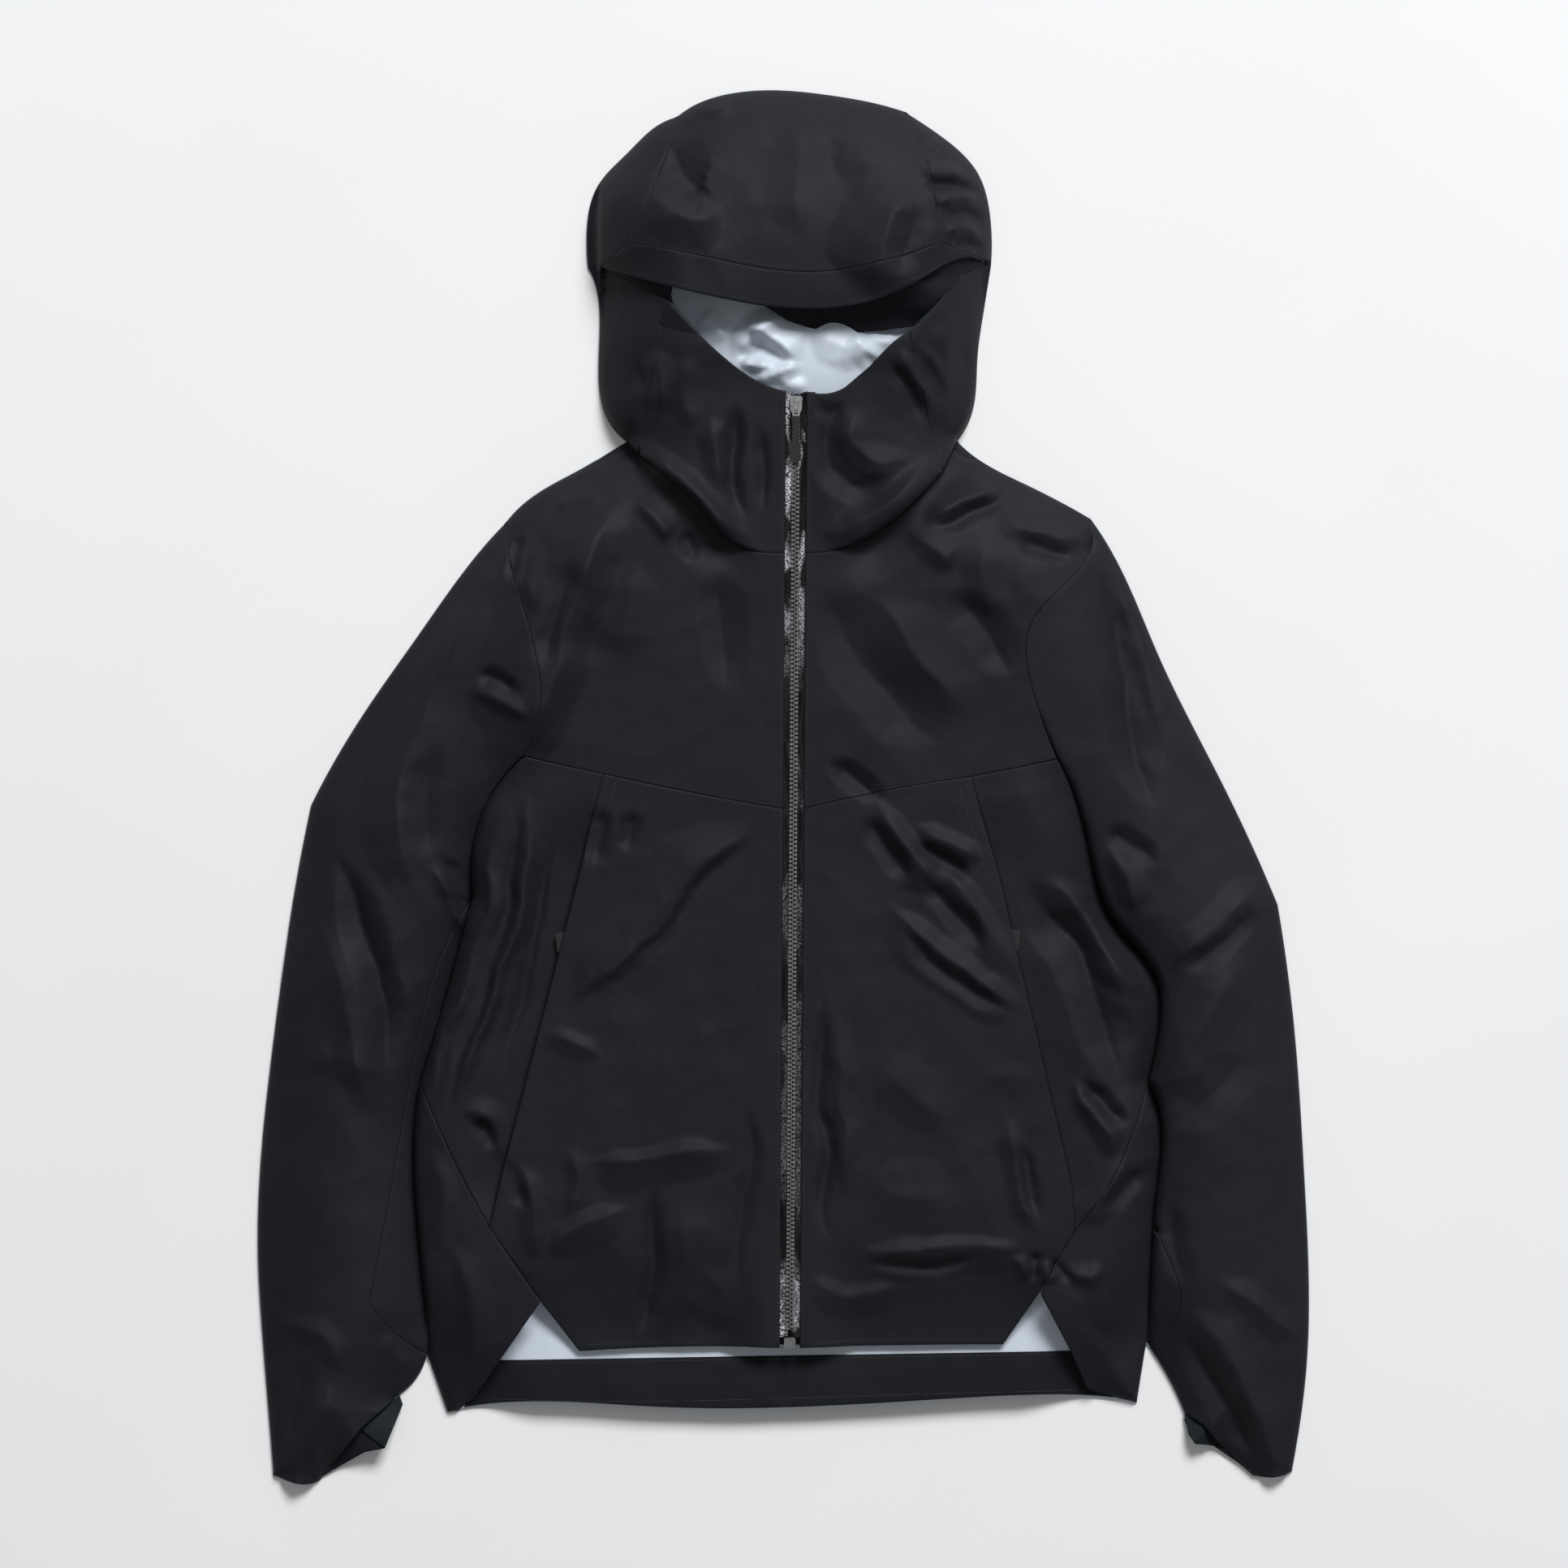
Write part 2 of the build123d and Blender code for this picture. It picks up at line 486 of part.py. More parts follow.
# ---- sleeves ------------------------------------------------------------------------
def sleeve_front_right():
    face = plan_face(UPPER_ARM_RIGHT, FOREARM_RIGHT, CUFF_END_RIGHT, CUFF_NOTCH_RIGHT[0:2],
                     CUFF_NOTCH_RIGHT[1:3], CUFF_NOTCH_RIGHT[2:4], INNER_WRIST_RIGHT,
                     UNDERARM_HOOK_RIGHT, UNDERARM_SEAM_RIGHT, BODY_EDGE_RIGHT, ARMHOLE_RIGHT)
    return draped_sheet(face, lay_height, FABRIC)


def sleeve_under_right():
    face = plan_face(UNDERARM_SEAM_RIGHT, UNDERARM_HOOK_RIGHT, HIP_EDGE_RIGHT, BODY_LOW_EDGE_RIGHT)
    return draped_sheet(face, lay_height, FABRIC)


def sleeve_front_left():
    face = plan_face(UPPER_ARM_LEFT, FOREARM_LEFT, CUFF_END_LEFT, CUFF_NOTCH_LEFT[0:2],
                     CUFF_NOTCH_LEFT[1:3], CUFF_NOTCH_LEFT[2:4], INNER_WRIST_LEFT,
                     UNDERARM_SEAM_LEFT, HIP_EDGE_LEFT, BODY_EDGE_LEFT, ARMHOLE_LEFT)
    return draped_sheet(face, lay_height, FABRIC)


def sleeve_under_left():
    face = plan_face(UNDERARM_SEAM_LEFT, HIP_LOW_EDGE_LEFT)
    return draped_sheet(face, lay_height, FABRIC)


def cuff_gusset(points):
    """Stretch wedge let into the inner wrist, standing between front and back of the cuff."""
    return flat_sheet(polygon_face(points), FABRIC + LINING + 0.3, 1.0)


# ---- main zip -----------------------------------------------------------------------
ZIP_FRAME = frame_along(ZIP_TOP, ZIP_BOTTOM)


def on_zip(shape):
    return ZIP_FRAME.location * shape


def main_zip_tape(side):
    top = TOOTH_TOP - TOOTH_HEIGHT / 2
    tape = block(side * 1.3, side * TAPE_HALF, BOX_LENGTH - ZIP_LENGTH, -0.5, top - 0.6, top)
    return on_zip(tape)


def tooth(side):
    """One moulded tooth: a rounded block that clamps the tape and a round head."""
    foot = Pos(side * 1.95, 0) * RectangleRounded(2.1, 2.2, 0.7)
    head = Pos(side * 0.55, 0) * Rectangle(1.1, 1.0) + Pos(side * 0.2, 0) * Circle(0.74)
    solid = extrude(foot + head, amount=TOOTH_HEIGHT)
    return chamfer(solid.faces().sort_by(Axis.Z)[-1].edges(), 0.18)


def main_zip_teeth(side):
    one = tooth(side)
    first = 3.2 + (0.0 if side < 0 else TOOTH_PITCH / 2)
    count = int((ZIP_LENGTH - BOX_LENGTH - first - 1.5) / TOOTH_PITCH)
    teeth = []
    for i in range(count):
        place = Pos(0, -first - i * TOOTH_PITCH, TOOTH_TOP - TOOTH_HEIGHT)
        teeth.append(ZIP_FRAME.location * place * one)
    return Compound(children=teeth)


def main_zip_top_stops():
    """Two stops at the top ends of the tapes, above the slider."""
    pair = []
    for side in (-1, 1):
        stop = block(side * 1.4, side * 3.0, -1.9, -0.6, TOOTH_TOP - TOOTH_HEIGHT, TOOTH_TOP)
        pair.append(on_zip(stop))
    return Compound(children=pair)


def slider_plan(length, half_width):
    """Shield shape of a slider: square shoulders and a narrower rounded lower end."""
    upper = length / 2
    points = [(-half_width, upper - 1), (-half_width + 1.2, upper), (half_width - 1.2, upper),
              (half_width, upper - 1), (half_width - 0.5, -upper + 2.2), (half_width - 1.6, -upper),
              (-half_width + 1.6, -upper), (-half_width + 0.5, -upper + 2.2)]
    return polygon_face(points)


def main_zip_slider():
    """Upper shell with side flanges and the bridge that holds the pull."""
    plate = extrude(slider_plan(SLIDER_LENGTH, SLIDER_HALF_WIDTH), amount=2.2, dir=(0, 0, 1))
    shell = Pos(0, 0, -1.0) * plate
    channel = block(-CHANNEL_HALF, CHANNEL_HALF, -10, 10, -2, 0.0)
    bridge = block(-1.1, 1.1, -3.4, 4.6, 1.1, 4.0)
    eye = block(-2, 2, -2.2, 3.4, 1.3, 3.1)
    body = shell - channel + (bridge - eye)
    return on_zip(Pos(0, -SLIDER_FROM_TOP, 0) * body)


def main_zip_slider_back():
    """Lower shell of the slider, behind the chain."""
    under = TOOTH_TOP - TOOTH_HEIGHT - 0.35
    plate = extrude(slider_plan(SLIDER_LENGTH, SLIDER_HALF_WIDTH), amount=1.8, dir=(0, 0, 1))
    shell = Pos(0, 0, under - 1.0) * plate
    channel = block(-CHANNEL_HALF, CHANNEL_HALF, -10, 10, under, under + 3)
    return on_zip(Pos(0, -SLIDER_FROM_TOP, 0) * (shell - channel))


def pull_pivot():
    return Pos(0, -SLIDER_FROM_TOP + PULL_PIVOT_BACK, PULL_PIN_HEIGHT)


def main_zip_pull():
    """Metal link: a pin through the slider's bridge, two arms and a cross bar for the tab."""
    pin = Rot(0, 90, 0) * Cylinder(0.6, 5.4)
    arms = block(1.5, 2.7, -9.4, 0.6, -0.5, 0.5) + block(-2.7, -1.5, -9.4, 0.6, -0.5, 0.5)
    cross_bar = block(-2.7, 2.7, -10.4, -9.2, -0.5, 0.5)
    return on_zip(pull_pivot() * (pin + arms + cross_bar))


def main_zip_pull_tab():
    """Moulded grip wrapped round the link's cross bar, stepping wider near its end."""
    neck = block(-2.6, 2.6, -30, -10.6, -0.7, 0.7)
    grip = Pos(0, -30 - (PULL_TAB_LENGTH - 26) / 2, 0) * Box(7.4, PULL_TAB_LENGTH - 26, 1.8)
    grip = fillet(grip.edges().filter_by(Axis.Z), 1.2)
    wrap = block(-3.2, 3.2, -14, -10.6, -0.8, 0.8)
    return on_zip(pull_pivot() * (neck + grip + wrap))


def main_zip_retainer_box():
    low = TOOTH_TOP - TOOTH_HEIGHT - 0.3
    box = block(-4.2, 4.2, -ZIP_LENGTH - 0.4, -ZIP_LENGTH + BOX_LENGTH - 0.6, low, 0.3)
    socket = block(0.6, 2.9, -ZIP_LENGTH + 1.4, -ZIP_LENGTH + BOX_LENGTH + 1, low + 0.8, -0.5)
    rounded = fillet(box.edges().filter_by(Axis.Z), 0.9)
    return on_zip(rounded - socket)


def main_zip_insert_pin():
    low = TOOTH_TOP - TOOTH_HEIGHT + 0.6
    return on_zip(block(0.75, 2.75, -ZIP_LENGTH + 1.6, -ZIP_LENGTH + BOX_LENGTH - 0.2, low, -0.65))


def main_zip_storm_flap():
    """Strip of laminate behind the whole chain."""
    return on_zip(block(-15, 19, -ZIP_LENGTH + 2, -1, -FLAP_BELOW - 1.0, -FLAP_BELOW))


def chin_guard():
    """Soft patch over the top end of the zip, on the wearer's side."""
    return on_zip(block(-14, 14, -42, 0.5, -GUARD_BELOW - 1.1, -GUARD_BELOW))


# ---- pocket zips --------------------------------------------------------------------
def pocket_frame(mouth):
    """Y up the pocket mouth, Z square to the front panel there."""
    top = Vector(*mouth[0], lay_height(*mouth[0]))
    bottom = Vector(*mouth[1], lay_height(*mouth[1]))
    middle = (top + bottom) * 0.5
    inward = -14 if middle.X > 0 else 14
    inner = Vector(middle.X + inward, middle.Y, lay_height(middle.X + inward, middle.Y))
    across = (inner - middle) * (1 if middle.X < 0 else -1)
    normal = across.cross(top - bottom).normalized()
    return frame_along(top, bottom, normal)


def on_pocket(mouth, shape):
    """Places a shape on the zip line behind the flap's edge; X inward is +X on the right pocket."""
    inset = POCKET_INSET if mouth[0][0] < 0 else -POCKET_INSET
    return pocket_frame(mouth).location * Pos(inset, 0, 0) * shape


def pocket_length(mouth):
    return math.dist(mouth[0], mouth[1])


def pocket_zip_tape(mouth):
    return on_pocket(mouth, block(-5.2, 5.2, 4 - pocket_length(mouth), -2, -6.4, -5.8))


def pocket_zip_coil(mouth):
    bar = block(-1.9, 1.9, 10 - pocket_length(mouth), -4, -5.7, -4.7)
    groove = block(-0.2, 0.2, 9 - pocket_length(mouth), -3, -4.95, -4.6)
    return on_pocket(mouth, bar - groove)


def pocket_zip_slider(mouth):
    plate = extrude(slider_plan(9.0, 3.6), amount=0.9, dir=(0, 0, 1))
    post = Pos(0, -1.6, 0.9) * Cylinder(0.8, 1.2)
    return on_pocket(mouth, Pos(0, -POCKET_SLIDER_AT, -4.4) * (plate + post))


def pocket_zip_pull(mouth):
    """Flat loop and tab that swings on the slider's post and peeks out under the flap."""
    out = -1 if mouth[0][0] < 0 else 1
    eye = Pos(0, 0) * Circle(2.0)
    strap = polygon_face([(-1.6, 0), (1.6, 0), (out * 4 + 1.6, -9), (out * 4 - 1.6, -9)])
    tab = Pos(out * 6.4, -14.5) * Rot(0, 0, out * -20) * RectangleRounded(7.0, 15.0, 1.6)
    plate = extrude(eye + strap + tab, amount=0.9) - Cylinder(1.1, 6)
    return on_pocket(mouth, Pos(0, -POCKET_SLIDER_AT - 1.6, -3.2) * plate)


# ---- writing ------------------------------------------------------------------------
def parts():
    yield "back_yoke_panel", back_yoke_panel()
    yield "back_body_panel", back_body_panel()
    yield "back_hem_facing", back_hem_facing()
    yield "sleeve_back_right", sleeve_back_right()
    yield "sleeve_back_left", sleeve_back_left()
    yield "cuff_facing_right", cuff_facing(CUFF_BACK_RIGHT)
    yield "cuff_facing_left", cuff_facing(CUFF_BACK_LEFT)
    yield "cuff_gusset_right", cuff_gusset(GUSSET_RIGHT)
    yield "cuff_gusset_left", cuff_gusset(GUSSET_LEFT)
    yield "hood_back_panel", hood_back_panel()
    yield "neck_label", neck_label()
    yield "hanger_loop", hanger_loop()
    yield "hood_crown_panel", hood_crown_panel()
    yield "hood_brim", hood_brim()
    yield "brim_stiffener", brim_stiffener()
    yield "brim_facing", brim_facing()
    yield "hood_side_right", hood_side_right()
    yield "hood_side_left", hood_side_left()
    yield "collar_right", collar_right()
    yield "collar_left", collar_left()
    yield "collar_facing_right", face_edge_facing(FACE_EDGE_RIGHT[:-1], -6)
    yield "collar_facing_left", face_edge_facing(FACE_EDGE_LEFT[1:], 6)
    yield "front_yoke_right", front_yoke_right()
    yield "front_yoke_left", front_yoke_left()
    yield "front_lower_right", front_lower_right()
    yield "front_lower_left", front_lower_left()
    yield "side_panel_right", side_panel_right()
    yield "side_panel_left", side_panel_left()
    yield "hip_panel_right", hip_panel_right()
    yield "hip_panel_left", hip_panel_left()
    yield "front_hem_facing_right", front_hem_facing([(-148, -412), (-19, -411), (-19, -386), (-130, -388)])
    yield "front_hem_facing_left", front_hem_facing([(161, -408), (29, -411), (29, -386), (147, -384)])
    yield "pocket_bag_right", pocket_bag([(-126, -50), (-60, -50), (-42, -310), (-182, -310), (-126, -60)])
    yield "pocket_bag_left", pocket_bag([(136, -50), (76, -50), (58, -310), (194, -310), (136, -60)])
    yield "sleeve_front_right", sleeve_front_right()
    yield "sleeve_front_left", sleeve_front_left()
    yield "sleeve_under_right", sleeve_under_right()
    yield "sleeve_under_left", sleeve_under_left()
    for side, name in ((-1, "right"), (1, "left")):
        mouth = POCKET_MOUTH_RIGHT if side < 0 else POCKET_MOUTH_LEFT
        yield "main_zip_tape_" + name, main_zip_tape(side)
        yield "main_zip_teeth_" + name, main_zip_teeth(side)
        yield "pocket_zip_tape_" + name, pocket_zip_tape(mouth)
        yield "pocket_zip_coil_" + name, pocket_zip_coil(mouth)
        yield "pocket_zip_slider_" + name, pocket_zip_slider(mouth)
        yield "pocket_zip_pull_" + name, pocket_zip_pull(mouth)
    yield "main_zip_top_stops", main_zip_top_stops()
    yield "main_zip_slider", main_zip_slider()
    yield "main_zip_slider_back", main_zip_slider_back()
    yield "main_zip_pull", main_zip_pull()
    yield "main_zip_pull_tab", main_zip_pull_tab()
    yield "main_zip_retainer_box", main_zip_retainer_box()
    yield "main_zip_insert_pin", main_zip_insert_pin()
    yield "main_zip_storm_flap", main_zip_storm_flap()
    yield "chin_guard", chin_guard()


for node, shape in parts():
    export_step(shape, "parts/" + node + ".step")
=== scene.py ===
import json
import math
import bpy
import numpy as np
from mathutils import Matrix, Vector, noise
from mathutils.geometry import delaunay_2d_cdt

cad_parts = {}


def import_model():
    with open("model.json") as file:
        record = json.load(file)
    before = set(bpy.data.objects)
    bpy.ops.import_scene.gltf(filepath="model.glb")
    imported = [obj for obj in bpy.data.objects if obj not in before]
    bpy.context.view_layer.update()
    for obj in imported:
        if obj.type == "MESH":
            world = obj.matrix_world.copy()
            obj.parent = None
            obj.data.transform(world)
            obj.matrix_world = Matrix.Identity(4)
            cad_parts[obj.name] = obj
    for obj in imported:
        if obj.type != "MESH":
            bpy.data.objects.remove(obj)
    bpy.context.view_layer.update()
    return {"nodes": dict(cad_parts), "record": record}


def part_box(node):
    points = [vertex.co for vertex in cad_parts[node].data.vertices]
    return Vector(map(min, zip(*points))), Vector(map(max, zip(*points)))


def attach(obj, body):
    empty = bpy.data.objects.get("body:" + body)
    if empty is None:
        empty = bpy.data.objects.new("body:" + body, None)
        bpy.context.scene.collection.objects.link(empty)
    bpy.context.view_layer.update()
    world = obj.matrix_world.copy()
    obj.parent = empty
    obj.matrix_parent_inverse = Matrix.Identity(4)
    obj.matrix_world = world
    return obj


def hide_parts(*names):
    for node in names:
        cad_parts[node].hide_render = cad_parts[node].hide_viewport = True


# A hooded shell jacket lying zipped up on its back.  Plan shapes come from the CAD nodes,
# heights from the lay of the garment below.  Lengths are in millimetres until a mesh is made.

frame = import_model()
NODES = frame["nodes"]
MM = 0.001

# noise_vector, which bends the folds, takes its seed from the clock unless one is set
noise.seed_set(1794890449)

# ---- the lay of the garment: heights above the floor --------------------------------
HEM_LIFT = 11.0          # how far the stiff back hem stands off the floor
HEM_SINK = 12.0          # how far the front hem sags towards it
TOP_LIMIT = 78.0         # nothing of the hood stands higher
CUFF_LIFT = 7.0
FOLD_TOP = 4.0           # front layer's height where it turns round to the back layer
FOLD_RADIUS = 72.0       # distance from the outer fold over which the front rises
VALLEY_RADIUS = 52.0     # the same beside the line between body and sleeve
SLEEVE_RIDGE = 31.0
CUFF_RIDGE = 25.0
BRIM_RIDGE = 60.0
CROWN_RIDGE = 38.0
HOOD_FOLD_RADIUS = 48.0  # the hood is stiffer, so it turns in more tightly at its top
POCKET_DROP = 8.0        # how far the side panel lies below the pocket flap
POCKET_FADE = 60.0
LAP_RADIUS = 6.0         # roundness of the layer that lies over its neighbour
LAP_DROP = 9.0
EDGE_ROUND = 5.0
BACK_TOP = 0.9           # inner face of the back layer
CLOTH = 0.55             # laminate thickness
BRIM_CLOTH = 1.6         # the brim is laminated to a stiffener
FACING_CLOTH = 0.4
STEP = 2.6               # side of a triangle
SEAM_GROOVE = 0.11       # depth of a seam

FRONT = ["hood_crown_panel", "hood_brim", "hood_side_right", "hood_side_left", "collar_right",
         "collar_left", "front_yoke_right", "front_yoke_left", "front_lower_right",
         "front_lower_left", "side_panel_right", "side_panel_left", "hip_panel_right",
         "hip_panel_left", "sleeve_front_right", "sleeve_front_left", "sleeve_under_right",
         "sleeve_under_left"]
BACK = ["hood_back_panel", "back_yoke_panel", "back_body_panel", "sleeve_back_right", "sleeve_back_left"]
# which pieces lie over and under their neighbour at the line between body and sleeve
OVER = ["side_panel_right", "hip_panel_right", "sleeve_front_left", "sleeve_under_left"]
UNDER = ["sleeve_front_right", "sleeve_under_right", "side_panel_left", "hip_panel_left"]


def zip_line():
    """Ends of the zip's centre line, from the two tapes' boxes."""
    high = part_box("main_zip_tape_left")[1]
    low_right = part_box("main_zip_tape_right")[0]
    half = 14.0        # from the centre line to a tape's outer edge
    tape_down = 1.55   # from the fronts' outer face to the tape's
    top = Vector((high[0] / MM - half, high[1] / MM + 0.5, high[2] / MM + tape_down))
    bottom = Vector((low_right[0] / MM + half, low_right[1] / MM - 8, low_right[2] / MM + 0.6 + tape_down))
    return top, bottom


ZIP_TOP, ZIP_BOTTOM = zip_line()


def plan_loop(node):
    """Outline in plan of a node's upward faces, as an array of points in order."""
    mesh = NODES[node].data
    keys = {}
    index = []
    for v in mesh.vertices:
        key = (round(v.co.x, 6), round(v.co.y, 6), round(v.co.z, 6))
        index.append(keys.setdefault(key, len(keys)))
    places = list(keys)
    seen = {}
    for polygon in mesh.polygons:
        if polygon.normal.z < 0.05:
            continue
        ring = [index[v] for v in polygon.vertices]
        for a, b in zip(ring, ring[1:] + ring[:1]):
            if a != b:
                seen[(a, b)] = seen.get((a, b), 0) + 1
    after = {a: b for (a, b) in seen if (b, a) not in seen}
    loops = []
    while after:
        start, at = after.popitem()
        loop = [start]
        while at != start and at in after:
            loop.append(at)
            at = after.pop(at)
        loops.append(loop)
    best = max(loops, key=len)
    return np.array([[places[i][0] / MM, places[i][1] / MM] for i in best])


LOOPS = {node: plan_loop(node) for node in FRONT + BACK}

# free edge of each hip panel from the vent's peak to the hem corner, which hangs straight
VENT_REACH = 15.0
VENT_EDGE = {"hip_panel_right": [(-178.5, -379), (-209, -423), (-228, -451), (-240, -461), (-248, -462)],
             "hip_panel_left": [(190.5, -372), (213.5, -416), (226, -444), (238, -449), (263, -455)]}


def straightened(loop, edge):
    """The loop with its free edge below the vent's peak pulled taut between the given points."""
    out = loop.copy()
    for i, (x, y) in enumerate(loop):
        if y > edge[0][1] - 0.4:
            continue
        best = None
        for (ax, ay), (bx, by) in zip(edge, edge[1:]):
            run = (bx - ax, by - ay)
            along = ((x - ax) * run[0] + (y - ay) * run[1]) / (run[0] ** 2 + run[1] ** 2)
            along = min(max(along, 0.0), 1.0)
            near = (ax + run[0] * along, ay + run[1] * along)
            away = math.dist(near, (x, y))
            if best is None or away < best[0]:
                best = (away, near)
        if best[0] < VENT_REACH:
            out[i] = best[1]
    return out


for node, edge in VENT_EDGE.items():
    LOOPS[node] = straightened(LOOPS[node], edge)


def segments(loop):
    """Rows of x1, y1, x2, y2 round a closed loop."""
    return np.hstack([loop, np.roll(loop, -1, axis=0)])


def distance_to(points, segs):
    """Shortest distance in plan from each point to a set of segments."""
    best = np.full(len(points), 1e9)
    for x1, y1, x2, y2 in segs:
        run = np.array([x2 - x1, y2 - y1])
        long = max(float(run @ run), 1e-9)
        away = points - (x1, y1)
        along = np.clip((away @ run) / long, 0, 1)
        best = np.minimum(best, np.hypot(away[:, 0] - along * run[0], away[:, 1] - along * run[1]))
    return best


def inside(points, loop):
    """Which points lie within a closed loop."""
    result = np.zeros(len(points), bool)
    x, y = points[:, 0], points[:, 1]
    for x1, y1, x2, y2 in segments(loop):
        if y1 == y2:
            continue
        crosses = (y1 > y) != (y2 > y)
        result ^= crosses & (x < (x2 - x1) * (y - y1) / (y2 - y1) + x1)
    return result


def unshared(names, reach=1.6):
    """Boundary segments of these nodes that no other of them meets."""
    kept = {}
    for node in names:
        segs = segments(LOOPS[node])
        middle = (segs[:, :2] + segs[:, 2:]) / 2
        others = np.vstack([segments(LOOPS[n]) for n in names if n != node])
        kept[node] = segs[distance_to(middle, others) > reach]
    return kept


FRONT_FREE = unshared(FRONT)
BACK_FREE = np.vstack(list(unshared(BACK).values()))


def near_back(segs):
    """The segments that meet the back layer's edge, where the garment folds round."""
    middle = (segs[:, :2] + segs[:, 2:]) / 2
    return segs[distance_to(middle, BACK_FREE) < 3.0] if len(segs) else segs


OUTER_OF = {node: near_back(segs) for node, segs in FRONT_FREE.items()}
OUTER = np.vstack(list(OUTER_OF.values()))
# cuffs and hem are open, so the folds beside them run on past the ends
RUN_ON = np.array([[-377, -509, -373, -620], [-287, -471, -292, -620], [-248, -462, -236, -620],
                   [263, -455, 252, -620], [298, -462, 312, -620], [378, -506, 374, -620]], float)
OUTER_AND_ON = np.vstack([OUTER, RUN_ON])


def shared_between(names, others, lowest, highest):
    """Edges that two groups of pieces share, between two levels."""
    segs = np.vstack([segments(LOOPS[n]) for n in names])
    middle = (segs[:, :2] + segs[:, 2:]) / 2
    with_others = distance_to(middle, np.vstack([segments(LOOPS[n]) for n in others])) < 1.2
    return segs[with_others & (middle[:, 1] < highest) & (middle[:, 1] > lowest)]


SLEEVES = [n for n in FRONT if n.startswith("sleeve")]
BODY = [n for n in FRONT if not n.startswith("sleeve")]
COLLAR = ["collar_right", "collar_left", "hood_side_right", "hood_side_left"]
YOKE = ["front_yoke_right", "front_yoke_left"]
VALLEY = shared_between(SLEEVES, BODY, -430, 95)
NECK = shared_between(COLLAR, YOKE, 150, 262)
BACK_HEM = BACK_FREE[(BACK_FREE[:, 1] < -440) & (np.abs(BACK_FREE[:, 0]) < 262)]
BACK_CUFFS = BACK_FREE[(BACK_FREE[:, 1] < -465) & (np.abs(BACK_FREE[:, 0]) > 285)]
POCKET_MOUTHS = shared_between(["front_lower_right", "front_lower_left"],
                               ["side_panel_right", "side_panel_left"], -290, -60)


def smooth(part):
    part = np.clip(part, 0, 1)
    return part * part * (3 - 2 * part)


def blend(start, end, part):
    return start + (end - start) * smooth(part)


def dome(part):
    return 1 - (1 - np.clip(part, 0, 1)) ** 2


def zip_x(y):
    return ZIP_TOP.x + (ZIP_BOTTOM.x - ZIP_TOP.x) * (ZIP_TOP.y - y) / (ZIP_TOP.y - ZIP_BOTTOM.y)


def zip_z(y):
    return ZIP_TOP.z + (ZIP_BOTTOM.z - ZIP_TOP.z) * (ZIP_TOP.y - y) / (ZIP_TOP.y - ZIP_BOTTOM.y)


def full_height(x, y):
    """Height of the garment away from its folds."""
    rise = blend(zip_z(y), BRIM_RIDGE, (y - ZIP_TOP.y) / 80)
    hood = blend(rise, CROWN_RIDGE, (y - 395) / 110)
    sleeve = blend(SLEEVE_RIDGE, CUFF_RIDGE, (-200 - y) / 280)
    body = blend(zip_z(y), sleeve, (np.abs(x) - 185) / 90)
    return np.where(y > ZIP_TOP.y, hood, body)


